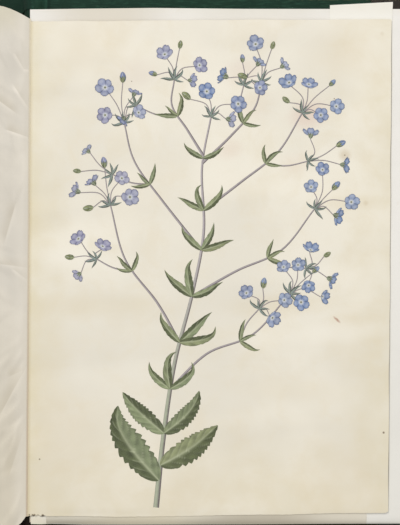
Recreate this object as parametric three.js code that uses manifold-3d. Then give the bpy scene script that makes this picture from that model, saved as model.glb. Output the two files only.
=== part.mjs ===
// A folio album of painted plates, bound in green cloth with a brown leather back and corners,
// lying open. Millimetres, +Z up, the head of the page towards +Y. The fold of the spine is the
// line X = 0: the back half of the album lies at +X and the front half at -X.
// The album shuts by turning the front half about the line X = 0, Z = AXIS_Z.

import * as THREE from 'three';
import { mergeVertices } from 'three/addons/utils/BufferGeometryUtils.js';
import Module from 'manifold-3d';

const wasm = await Module();
wasm.setup();

// ---- Driving dimensions ----

const LEAF_WIDTH = 350;
const LEAF_HEIGHT = 473;
const BUNDLES = 8; // bundles of leaves in each half
const END_SQUARE = 15.5; // the boards stand this far out past the leaves at head and tail
const FORE_SQUARE = 7;

const COVER = 0.8; // cloth and leather
const BOARD = 3.2;
const TAPE = 0.25;
const TURN_IN = 0.4;
const PASTEDOWN = 0.3;
const PAPER = 0.4;
const SKIN_GAP = 0.1; // between glued layers
const LEAF_GAP = 0.15; // between loose leaves
const FOLD_GAP = 0.3; // from the fold to each half's covering

const AXIS_Z = 27.5;
const HINGE_X = 12; // the spine arches between the boards' inner edges
const CREST_Z = 22.65; // underside of the spine at the top of its arch
const LEATHER_X = 62; // the leather of the back reaches this far over each board
const CORNER_LEG = 52;
const TURN_IN_WIDTH = 15;
const FLANGE_X = 30; // the cloth joint's glued edge on the board
const TAPE_X = 34;
const TAPE_WIDTH = 14;
const TAPE_PITCH = 95;
const TAPES = 5;

const PLATE_THICK = 0.5;
const PLATE_TOP = AXIS_Z - 1.2;
const PLATE_AXIS_X = 0.5;
const GUARD = 0.25;
const GUARD_X = 14;
const FRONT_TOP = AXIS_Z - 0.2; // top of the front half's leaves

// ---- Levels worked out from them ----

const BOARD_LOW = COVER + SKIN_GAP;
const BOARD_TOP = BOARD_LOW + BOARD;
const TAPE_LOW = BOARD_TOP + SKIN_GAP;
const FOLDED_LOW = TAPE_LOW + TAPE + SKIN_GAP; // underside of the turned-in covering
const FOLDED_TOP = FOLDED_LOW + TURN_IN;
const PASTEDOWN_LOW = FOLDED_TOP + SKIN_GAP;
const BLOCK_LOW = PASTEDOWN_LOW + PASTEDOWN + LEAF_GAP;

const PLATE_LOW = PLATE_TOP - PLATE_THICK;
const UPPER_GUARD_LOW = PLATE_LOW - SKIN_GAP - GUARD;
const LOWER_GUARD_LOW = UPPER_GUARD_LOW - SKIN_GAP - GUARD;
const MOUNT_LOW = LOWER_GUARD_LOW - SKIN_GAP - PAPER;
const BACK_TOP = MOUNT_LOW - LEAF_GAP;

const BOARD_HALF = LEAF_HEIGHT / 2 + END_SQUARE;
const TAPE_LIFT = COVER + SKIN_GAP; // each lift is a height above the spine's underside
const JOINT_LIFT = TAPE_LIFT + TAPE + SKIN_GAP;
const LEAF_LIFT = JOINT_LIFT + TURN_IN + 0.3;
const BOARD_X = leafStart(BLOCK_LOW) + LEAF_WIDTH + FORE_SQUARE;

// ---- Shape helpers ----

// Height of the spine's arch at x, for a layer that lies the given lift above its underside.
// Past the board's inner edge the arch is over and the layer is level.
function spineZ(x, lift) {
  const turn = Math.PI * Math.min(1, x / HINGE_X);
  const slope = CREST_Z * Math.PI / (2 * HINGE_X) * Math.sin(turn);
  return CREST_Z * (1 + Math.cos(turn)) / 2 + lift * Math.hypot(1, slope);
}

// Where a leaf at height z begins, clear of the spine's lining.
function leafStart(z) {
  let near = FOLD_GAP + SKIN_GAP;
  let far = HINGE_X;
  if (spineZ(near, LEAF_LIFT) <= z) return near;
  for (let i = 0; i < 30; i++) {
    const middle = (near + far) / 2;
    if (spineZ(middle, LEAF_LIFT) > z) near = middle;
    else far = middle;
  }
  return far;
}

function samples(from, to, steps) {
  return Array.from({ length: steps + 1 }, (_, i) => from + (to - from) * i / steps);
}

function shapeOf(points) {
  return new THREE.Shape(points.map(([x, y]) => new THREE.Vector2(x, y)));
}

// An outline in X and Y, from zLow to zHigh.
function slab(points, zLow, zHigh) {
  const options = { depth: zHigh - zLow, bevelEnabled: false };
  return new THREE.ExtrudeGeometry(shapeOf(points), options).translate(0, 0, zLow);
}

// An outline in X and Z, drawn out along Y to halfLength each way.
function band(points, halfLength) {
  const options = { depth: 2 * halfLength, bevelEnabled: false };
  const geometry = new THREE.ExtrudeGeometry(shapeOf(points), options);
  return geometry.rotateX(Math.PI / 2).translate(0, halfLength, 0);
}

function block(xLow, xHigh, yLow, yHigh, zLow, zHigh) {
  const geometry = new THREE.BoxGeometry(xHigh - xLow, yHigh - yLow, zHigh - zLow);
  return geometry.translate((xLow + xHigh) / 2, (yLow + yHigh) / 2, (zLow + zHigh) / 2);
}

// A layer that follows the spine's arch out to xEnd and never drops below flatZ.
function archLayer(xEnd, lift, thick, flatZ) {
  const across = [...samples(FOLD_GAP, HINGE_X, 24).filter((x) => x < xEnd), xEnd];
  const low = across.map((x) => [x, Math.max(spineZ(x, lift), flatZ)]);
  const high = across.map((x) => [x, Math.max(spineZ(x, lift + thick), flatZ + thick)]);
  return [...low, ...high.reverse()];
}

function solidOf(geometry) {
  const bare = geometry.clone();
  bare.deleteAttribute('normal');
  bare.deleteAttribute('uv');
  const merged = mergeVertices(bare, 1e-4);
  return new wasm.Manifold(new wasm.Mesh({
    numProp: 3,
    vertProperties: new Float32Array(merged.attributes.position.array),
    triVerts: new Uint32Array(merged.index.array),
  }));
}

function geometryOf(solid) {
  const { vertProperties, triVerts } = solid.getMesh();
  const geometry = new THREE.BufferGeometry();
  geometry.setAttribute('position', new THREE.BufferAttribute(vertProperties, 3));
  geometry.setIndex(new THREE.BufferAttribute(triVerts, 1));
  geometry.computeVertexNormals();
  return geometry;
}

function joined(...geometries) {
  return geometryOf(geometries.map(solidOf).reduce((all, next) => all.add(next)));
}

function finish(color, roughness) {
  return new THREE.MeshStandardMaterial({ color, roughness, metalness: 0 });
}

const FINISHES = {
  cloth: () => finish(0x23382e, 0.85),
  leather: () => finish(0x4a3423, 0.55),
  millboard: () => finish(0x8d8069, 0.9),
  linen: () => finish(0xc9bd9f, 0.9),
  endpaper: () => finish(0xd8cdb6, 0.85),
  paper: () => finish(0xe8e1d6, 0.85),
  mountPaper: () => finish(0xece7df, 0.8),
  thinPaper: () => finish(0xd8cfc0, 0.8),
  parchment: () => finish(0xe9e1cb, 0.6),
};

function piece(name, geometry, look) {
  const mesh = new THREE.Mesh(geometry, FINISHES[look]());
  mesh.name = name;
  return mesh;
}

// ---- The covers ----

// A covering that goes round the board's outer face and its three free edges, and is
// turned in over the inner face.
function coveringShell() {
  const inner = LEATHER_X + FOLD_GAP;
  const outer = block(inner, BOARD_X, -BOARD_HALF, BOARD_HALF, 0, FOLDED_TOP);
  const edge = BOARD_HALF - COVER;
  const cavity = block(inner - 1, BOARD_X - COVER, -edge, edge, COVER, FOLDED_LOW);
  const reach = BOARD_HALF - TURN_IN_WIDTH;
  const windowX = BOARD_X - TURN_IN_WIDTH;
  const window = block(inner - 1, windowX, -reach, reach, FOLDED_LOW - 0.1, FOLDED_TOP + 1);
  return solidOf(outer).subtract(solidOf(cavity)).subtract(solidOf(window));
}

// Everything beyond the slanting line across a corner; end is 1 at +Y and -1 at -Y.
function cornerWedge(end, leg) {
  const past = 5;
  const tip = [BOARD_X + past, end * (BOARD_HALF + past)];
  const onEnd = [BOARD_X - leg - past, end * (BOARD_HALF + past)];
  const onFore = [BOARD_X + past, end * (BOARD_HALF - leg - past)];
  return solidOf(slab([tip, onEnd, onFore], -1, FOLDED_TOP + 1));
}

function sideCloth() {
  const leg = CORNER_LEG + 0.5;
  return geometryOf(
    coveringShell().subtract(cornerWedge(1, leg)).subtract(cornerWedge(-1, leg)),
  );
}

function cornerLeather(end) {
  return geometryOf(coveringShell().intersect(cornerWedge(end, CORNER_LEG)));
}

// The leather of the back: half of the spine's arch, a strip over the board, and the
// strip's ends turned over the board at head and tail.
function backLeather() {
  const arch = band(archLayer(HINGE_X, 0, COVER, 0), BOARD_HALF);
  const strip = block(HINGE_X - 0.2, LEATHER_X, -BOARD_HALF, BOARD_HALF, 0, COVER);
  const ends = [1, -1].flatMap((end) => {
    const wall = [end * (BOARD_HALF - COVER), end * BOARD_HALF].sort((a, b) => a - b);
    const fold = [end * (BOARD_HALF - TURN_IN_WIDTH), end * BOARD_HALF].sort((a, b) => a - b);
    return [
      block(HINGE_X, LEATHER_X, ...wall, 0, FOLDED_TOP),
      block(HINGE_X, LEATHER_X, ...fold, FOLDED_LOW, FOLDED_TOP),
    ];
  });
  return joined(arch, strip, ...ends);
}

// The cloth joint: lines the spine from end to end and is glued to the board's inner face.
function clothJoint() {
  const lining = band(archLayer(HINGE_X - 0.3, JOINT_LIFT, TURN_IN, FOLDED_LOW), BOARD_HALF);
  const reach = BOARD_HALF - TURN_IN_WIDTH - 0.3;
  const flange = block(HINGE_X - 1, FLANGE_X, -reach, reach, FOLDED_LOW, FOLDED_TOP);
  return joined(lining, flange);
}

function sewingTape() {
  return band(archLayer(TAPE_X, TAPE_LIFT, TAPE, TAPE_LOW), TAPE_WIDTH / 2);
}

// ---- The leaves ----

// A bundle of leaves, all of one width, whose inner edges follow the spine.
function leafBundle(zLow, zHigh) {
  const levels = samples(zLow, zHigh, 5);
  const inner = levels.map((z) => [leafStart(z), z]);
  const outer = levels.map((z) => [leafStart(z) + LEAF_WIDTH, z]);
  return band([...inner, ...outer.reverse()], LEAF_HEIGHT / 2);
}

function addBundles(group, half, top) {
  const pitch = (top + LEAF_GAP - BLOCK_LOW) / BUNDLES;
  for (let i = 0; i < BUNDLES; i++) {
    const zLow = BLOCK_LOW + i * pitch;
    const geometry = leafBundle(zLow, zLow + pitch - LEAF_GAP);
    group.add(piece(`${half}_leaves_${i + 1}`, geometry, 'paper'));
  }
}

// One half of the binding with its leaves, drawn at +X. ends names its +Y and -Y ends.
function bindingHalf(half, ends, top) {
  const group = new THREE.Group();

  const boardReach = BOARD_HALF - COVER - SKIN_GAP;
  const boardInner = HINGE_X + FOLD_GAP;
  const boardOuter = BOARD_X - COVER - SKIN_GAP;
  const core = block(boardInner, boardOuter, -boardReach, boardReach, BOARD_LOW, BOARD_TOP);
  group.add(piece(`${half}_board`, core, 'millboard'));
  group.add(piece(`${half}_cloth`, sideCloth(), 'cloth'));
  group.add(piece(`${half}_corner_${ends[0]}`, cornerLeather(1), 'leather'));
  group.add(piece(`${half}_corner_${ends[1]}`, cornerLeather(-1), 'leather'));
  group.add(piece(`${half}_leather`, backLeather(), 'leather'));
  group.add(piece(`${half}_joint`, clothJoint(), 'cloth'));

  for (let i = 0; i < TAPES; i++) {
    const tape = piece(`${half}_tape_${i + 1}`, sewingTape(), 'linen');
    tape.position.y = (i - (TAPES - 1) / 2) * TAPE_PITCH;
    group.add(tape);
  }

  const reach = LEAF_HEIGHT / 2 - 1;
  const pastedownX = BOARD_X - FORE_SQUARE - 1;
  const paste = block(18, pastedownX, -reach, reach, PASTEDOWN_LOW, PASTEDOWN_LOW + PASTEDOWN);
  group.add(piece(`${half}_pastedown`, paste, 'endpaper'));

  addBundles(group, half, top);
  return group;
}

// ---- The opening with the plate ----

// A sheet given by the positions of its corners, in order round it.
function sheet(corners, zLow, thick) {
  return slab(corners, zLow, zLow + thick);
}

// The white leaf under the plate, a little out of square.
function mountLeaf() {
  const corners = [[0.5, -236.9], [351, -234.5], [351, 238.9], [0.5, 236.3]];
  return sheet(corners, MOUNT_LOW, PAPER);
}

// A smaller sheet under the plate, whose tail end shows below it.
function backingSheet() {
  const corners = [[18, -236.3], [313, -234.6], [314.5, 58], [19.5, 56]];
  return sheet(corners, LOWER_GUARD_LOW, GUARD + 0.05);
}

// A loose slip of white paper tucked behind the plate's head.
function headSlip() {
  const width = 58;
  const length = 130;
  const corners = [[0, -length], [width, -length], [width, 0], [0, 0]];
  return sheet(corners, 0, GUARD + 0.05);
}

// The skin of the plate, not quite square, with a nicked tail edge near the fold.
function plateOutline() {
  const nicks = [
    [4, 0.2], [6, 1.3], [8, 0.5], [10.5, 1.6], [13, 0.4], [15.5, 1.2], [18.5, 0.3],
  ];
  const tailY = (x) => -229.4 + 0.0136 * x;
  return [
    [1.2, -229.4],
    ...nicks.map(([x, up]) => [x, tailY(x) + up]),
    [331, tailY(331)],
    [332.3, -223.6],
    [333, 229.1],
    [170, 227.4],
    [1.2, 224.9],
  ];
}

// The thin loose leaf on the front half. Near the fold it bows up and is cut back at
// head and tail; further out it lies down on the leaves. u is the distance from the fold.
const INTERLEAF_BOW = 5;
const INTERLEAF_BOW_U = 30;
const INTERLEAF_HALF = 238.5;

function interleafRise(u) {
  return INTERLEAF_BOW * (u / INTERLEAF_BOW_U) * Math.exp(1 - u / INTERLEAF_BOW_U);
}

function easedReach(u, least, rise, over) {
  return least + rise * Math.sin(Math.PI / 2 * Math.min(1, u / over));
}

function interleaf() {
  const low = FRONT_TOP + LEAF_GAP;
  const across = samples(0, 1, 30).map((t) => 0.6 + LEAF_WIDTH * t ** 1.7);
  const under = across.map((u) => [-u, low + interleafRise(u)]);
  const over = across.map((u) => [-u, low + interleafRise(u) + PAPER]);
  const head = across.map((u) => [-u, easedReach(u, 227.3, INTERLEAF_HALF - 227.3, 34)]);
  const tail = across.map((u) => [-u, -easedReach(u, 229.5, INTERLEAF_HALF - 229.5, 9)]);
  const sheetSolid = solidOf(band([...under, ...over.reverse()], INTERLEAF_HALF + 5));
  const outline = solidOf(slab([...head, ...tail.reverse()], low - 1, low + 20));
  return geometryOf(sheetSolid.intersect(outline));
}

// ---- The album ----

const album = new THREE.Group();

album.add(bindingHalf('back', ['head', 'tail'], BACK_TOP));

const frontHalf = bindingHalf('front', ['tail', 'head'], FRONT_TOP);
frontHalf.rotation.z = Math.PI;
album.add(frontHalf);

album.add(piece('mount_leaf', mountLeaf(), 'mountPaper'));
album.add(piece('backing_sheet', backingSheet(), 'parchment'));

const slip = piece('head_slip', headSlip(), 'mountPaper');
slip.position.set(276, 242, LOWER_GUARD_LOW);
slip.rotation.z = THREE.MathUtils.degToRad(3.3);
album.add(slip);

const GUARD_REACH = 224;
const lowerGuard = block(
  PLATE_AXIS_X + 0.1, GUARD_X, -GUARD_REACH, GUARD_REACH, LOWER_GUARD_LOW, LOWER_GUARD_LOW + GUARD,
);
const upperGuard = block(
  PLATE_AXIS_X + 1.4, GUARD_X, -GUARD_REACH, GUARD_REACH, UPPER_GUARD_LOW, UPPER_GUARD_LOW + GUARD,
);
album.add(piece('guard_lower', lowerGuard, 'linen'));
album.add(piece('guard_upper', upperGuard, 'linen'));
album.add(piece('plate', slab(plateOutline(), PLATE_LOW, PLATE_TOP), 'parchment'));

album.add(piece('interleaf', interleaf(), 'thinPaper'));

export default album;
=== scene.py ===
"""Dresses an open folio album of painted parchment plates: half leather over green cloth,
bundles of leaves and plates, a crumpled thin leaf, and one plate with a spray of flowers."""

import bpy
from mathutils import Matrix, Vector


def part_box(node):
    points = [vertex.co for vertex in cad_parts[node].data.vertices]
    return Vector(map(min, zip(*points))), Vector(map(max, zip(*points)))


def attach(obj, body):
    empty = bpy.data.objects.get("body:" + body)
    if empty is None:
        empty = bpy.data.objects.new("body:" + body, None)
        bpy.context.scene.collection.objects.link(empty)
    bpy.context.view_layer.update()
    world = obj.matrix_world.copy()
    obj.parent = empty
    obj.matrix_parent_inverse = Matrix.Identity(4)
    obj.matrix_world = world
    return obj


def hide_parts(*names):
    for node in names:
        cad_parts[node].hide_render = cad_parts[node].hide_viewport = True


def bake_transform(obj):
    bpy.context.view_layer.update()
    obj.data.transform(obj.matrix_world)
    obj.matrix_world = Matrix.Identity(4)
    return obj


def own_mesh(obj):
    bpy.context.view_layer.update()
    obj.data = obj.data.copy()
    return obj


bl_info = {
    "name": "Folio Album",
    "version": (1, 0, 0),
    "blender": (4, 5, 0),
    "location": "View3D > Sidebar > Album",
    "description": "Builds the finished surfaces of an open album of painted parchment plates",
    "category": "Object",
}

import math

import bmesh
import bpy
import numpy as np

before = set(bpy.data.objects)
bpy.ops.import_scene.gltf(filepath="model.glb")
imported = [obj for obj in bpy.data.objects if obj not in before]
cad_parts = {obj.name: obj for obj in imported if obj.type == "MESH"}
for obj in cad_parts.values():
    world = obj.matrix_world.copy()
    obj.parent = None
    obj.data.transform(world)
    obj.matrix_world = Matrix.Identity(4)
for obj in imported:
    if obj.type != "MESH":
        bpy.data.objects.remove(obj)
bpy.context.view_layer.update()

MM = 0.001
HALVES = {"back": 1, "front": -1}  # each half of the binding and the side of X it lies on
BUNDLES = 8
TAPES = 5

ARCH_REACH = 12 * MM  # the spine arches between the boards' inner edges
ARCH_CREST = 22.65 * MM
COVER = 0.8 * MM
FOLD_AXIS_Z = 27.5 * MM  # height of the line that the front half turns about


def srgb(red, green, blue):
    """A screen colour, each part from 0 to 255, as the linear values that shaders take."""
    parts = (red / 255, green / 255, blue / 255)
    return tuple(((p + 0.055) / 1.055) ** 2.4 if p > 0.04045 else p / 12.92 for p in parts)


def length(name, default, description):
    return bpy.props.FloatProperty(
        name=name, description=description, default=default, min=0, precision=5,
        unit="LENGTH", subtype="DISTANCE",
    )


def color(name, default, description):
    return bpy.props.FloatVectorProperty(
        name=name, description=description, default=default, size=3, min=0, max=1,
        subtype="COLOR",
    )


# ---- What a user can change ----


class AlbumSizes(bpy.types.PropertyGroup):
    board_round: length("Board rounding", 1.1 * MM, "Radius of the covered boards' edges")
    cover_reach: length("Cover reach", 1.5 * MM, "How far the covering stands past the boards")
    band_rise: length("Band rise", 0.5 * MM, "How far the spine's bands stand out")
    leaf_wave: length("Leaf wave", 0.11 * MM, "How far the loose edges of the leaves wave")
    tail_drop: length("Tail drop", 2.5 * MM, "How far the leaves droop at their tail edge")
    plate_cockle: length("Plate cockle", 0.42 * MM, "Height of the slow waves in the plate")
    plate_thickness: length("Plate thickness", 0.34 * MM, "Thickness of the parchment")
    crease_rise: length("Crease rise", 1.3 * MM, "Height of the thin leaf's sharpest creases")
    paint_film: length("Paint film", 0.03 * MM, "Thickness of the lowest layer of paint")


class AlbumColors(bpy.types.PropertyGroup):
    cloth: color("Cloth", srgb(31, 56, 45), "Book cloth on the boards")
    leather: color("Leather", srgb(42, 36, 30), "Leather of the back and corners")
    gilt: color("Gilt", srgb(196, 152, 84), "Worn gilt lines on the leather")
    millboard: color("Millboard", srgb(141, 128, 105), "Bare pulp board")
    linen: color("Linen", srgb(201, 189, 159), "Tapes and guard")
    endpaper: color("Endpaper", srgb(214, 203, 178), "Paper pasted inside the boards")
    leaf: color("Leaf paper", srgb(228, 219, 202), "Leaves of the album")
    mount: color("Mount paper", srgb(242, 239, 233), "White leaf behind the plate")
    slip: color("Slip paper", srgb(246, 243, 234), "Loose slip at the plate's head")
    thin: color("Thin paper", srgb(224, 217, 204), "Crumpled thin leaf")
    parchment: color("Parchment", srgb(239, 233, 218), "Skin of the plate")
    yellowed: color("Yellowed skin", srgb(222, 210, 168), "Aged edge of the plate at the fold")


class AlbumPaints(bpy.types.PropertyGroup):
    stem: color("Stem", srgb(190, 182, 184), "Lit side of the upper stems")
    stem_base: color("Stem base", srgb(176, 182, 158), "Lit side of the stem near the ground")
    stem_shade: color("Stem shade", srgb(104, 94, 96), "Shaded side of the stems")
    leaf: color("Leaf", srgb(134, 145, 110), "Lit half of a leaf")
    leaf_shade: color("Leaf shade", srgb(74, 82, 50), "Shaded half of a leaf")
    vein: color("Vein", srgb(184, 190, 156), "Midrib and side veins")
    blue: color("Blue", srgb(98, 128, 176), "Bluest petals")
    lilac: color("Lilac", srgb(150, 146, 176), "Lilac petals")
    pale: color("Pale", srgb(214, 217, 222), "Pale throat of a petal")
    outline: color("Outline", srgb(58, 68, 104), "Fine dark edge of a petal")
    heart: color("Heart", srgb(196, 184, 98), "Yellow dots in a flower's heart")


class AlbumLight(bpy.types.PropertyGroup):
    key: bpy.props.FloatProperty(
        name="Key light", description="Power of the light at the head", default=80, min=0,
        unit="POWER")
    fill: bpy.props.FloatProperty(
        name="Fill light", description="Power of the light opposite", default=7, min=0,
        unit="POWER")
    room: bpy.props.FloatProperty(
        name="Room light", description="Strength of the even light all round", default=0.5,
        min=0)
    eye_height: length("Camera height", 1.0, "Height of the camera above the plate")


def sizes():
    return bpy.context.scene.album_sizes


def colors():
    return bpy.context.scene.album_colors


def paints():
    return bpy.context.scene.album_paints


def light():
    return bpy.context.scene.album_light


# ---- Numbers ----


def smooth(low, high, value):
    """0 below low, 1 above high and an even S between them."""
    t = np.clip((np.asarray(value, float) - low) / (high - low), 0, 1)
    return t * t * (3 - 2 * t)


def mix(a, b, share):
    """Each row of a moved towards b by its share."""
    share = np.asarray(share, float)[..., None]
    return np.asarray(a, float) * (1 - share) + np.asarray(b, float) * share


def waves(x, y, seed, wavelength, count=7):
    """Slow seeded waves in the plane, about -1 to 1."""
    draw = np.random.default_rng(seed)
    total = np.zeros(np.broadcast(x, y).shape)
    for _ in range(count):
        way = draw.uniform(0, math.tau)
        step = math.tau / (wavelength * draw.uniform(0.75, 1.6))
        across = x * math.cos(way) + y * math.sin(way)
        total += np.sin(across * step + draw.uniform(0, math.tau))
    return total / math.sqrt(2 * count)


def directions(path):
    """Unit steps along a path, and unit steps to its left."""
    along = np.gradient(path, axis=0)
    along /= np.linalg.norm(along, axis=1)[:, None]
    return along, np.stack([-along[:, 1], along[:, 0]], -1)


def arch_z(x, lift):
    """Height of a layer of the spine, that lies the given lift above its underside."""
    turn = math.pi * np.minimum(1, np.abs(x) / ARCH_REACH)
    slope = ARCH_CREST * math.pi / (2 * ARCH_REACH) * np.sin(turn)
    return ARCH_CREST * (1 + np.cos(turn)) / 2 + lift * np.hypot(1, slope)


def outline_of(node):
    """The outline of a flat CAD sheet seen from above, as points in order round it."""
    points = np.array([v.co[:2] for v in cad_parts[node].data.vertices])
    points = np.unique(points.round(6), axis=0)
    away = points - points.mean(0)
    return points[np.argsort(np.arctan2(away[:, 1], away[:, 0]))]


def corners_of(node):
    """Tail-left, tail-right, head-right and head-left corners of a four-sided CAD sheet."""
    points = outline_of(node)
    start = int(np.argmin(points.sum(1)))
    return np.roll(points, -start, axis=0)


# ---- Meshes ----


def closed_grid(top, bottom):
    """Points and faces of a closed sheet between two grids of points."""
    rows, columns = top.shape[:2]
    count = rows * columns
    index = np.arange(count).reshape(rows, columns)
    upper = np.stack(
        [index[:-1, :-1], index[:-1, 1:], index[1:, 1:], index[1:, :-1]], -1
    ).reshape(-1, 4)
    rim = np.concatenate(
        [index[0, :-1], index[:-1, -1], index[-1, :0:-1], index[:0:-1, 0]]
    )
    after = np.roll(rim, -1)
    walls = np.stack([rim, rim + count, after + count, after], -1)
    points = np.concatenate([top.reshape(-1, 3), bottom.reshape(-1, 3)])
    return points, np.concatenate([upper, upper[:, ::-1] + count, walls])


def closed_tube(rings):
    """Points and faces of a closed body through rings of points, with flat ends."""
    steps, around = rings.shape[:2]
    index = np.arange(steps * around).reshape(steps, around)
    after = np.roll(index, -1, axis=1)
    sides = np.stack([index[:-1], after[:-1], after[1:], index[1:]], -1).reshape(-1, 4)
    faces = [tuple(face) for face in sides.tolist()]
    faces.append(tuple(index[0, ::-1].tolist()))
    faces.append(tuple(index[-1].tolist()))
    return rings.reshape(-1, 3), faces


def grid(xs, ys, zs):
    """Points from their three coordinates, each a grid or what can fill one."""
    return np.stack(np.broadcast_arrays(xs, ys, zs), -1)


def added(name, data):
    """A new object in the scene."""
    made = bpy.data.objects.new(name, data)
    bpy.context.scene.collection.objects.link(made)
    return made


def finished(name, mesh, shape, material, crisp):
    """The object of a mesh that takes an edited shape. Edges sharper than crisp degrees stay
    hard."""
    bmesh.ops.recalc_face_normals(shape, faces=shape.faces)
    shape.to_mesh(mesh)
    shape.free()
    mesh.shade_smooth()
    mesh.set_sharp_from_angle(angle=math.radians(crisp))
    mesh.materials.append(material)
    return added(name, mesh)


class Solids:
    """Gathers closed solids into one mesh, with a colour at each point if they are painted."""

    def __init__(self):
        self.points = []
        self.faces = []
        self.tints = []
        self.count = 0

    def add(self, points, faces):
        self.points.append(np.asarray(points, float))
        self.faces.extend(tuple(int(i) + self.count for i in face) for face in faces)
        self.count += len(points)

    def add_sheet(self, top, thickness):
        """A sheet of even thickness under a grid of points."""
        self.add_between(top, top - np.array([0, 0, thickness]))

    def add_between(self, top, bottom, tints=None):
        """A solid between two grids of points, both in the same tints."""
        self.add(*closed_grid(top, bottom))
        if tints is not None:
            self.tints += [tints.reshape(-1, 3)] * 2

    def build(self, name, material, crisp=35):
        mesh = bpy.data.meshes.new(name)
        mesh.from_pydata(np.concatenate(self.points).tolist(), [], self.faces)
        shape = bmesh.new()
        shape.from_mesh(mesh)
        piece = finished(name, mesh, shape, material, crisp)
        if self.tints:
            tint = mesh.color_attributes.new("paint", "FLOAT_COLOR", "POINT")
            values = np.ones((self.count, 4), np.float32)
            values[:, :3] = np.concatenate(self.tints)
            tint.data.foreach_set("color", values.ravel())
        return piece


def settle(piece, body, slot, *nodes):
    """Rides the piece on its body and hides the CAD nodes it stands for."""
    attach(piece, body)
    if nodes:
        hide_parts(*nodes)
    return piece


def sheet_piece(name, top, thickness, material, body, slot, node, crisp=35):
    """A piece that is one sheet, in place of its CAD node."""
    solid = Solids()
    solid.add_sheet(top, thickness)
    return settle(solid.build(name, material, crisp), body, slot, node)


# ---- Finishes ----


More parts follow.
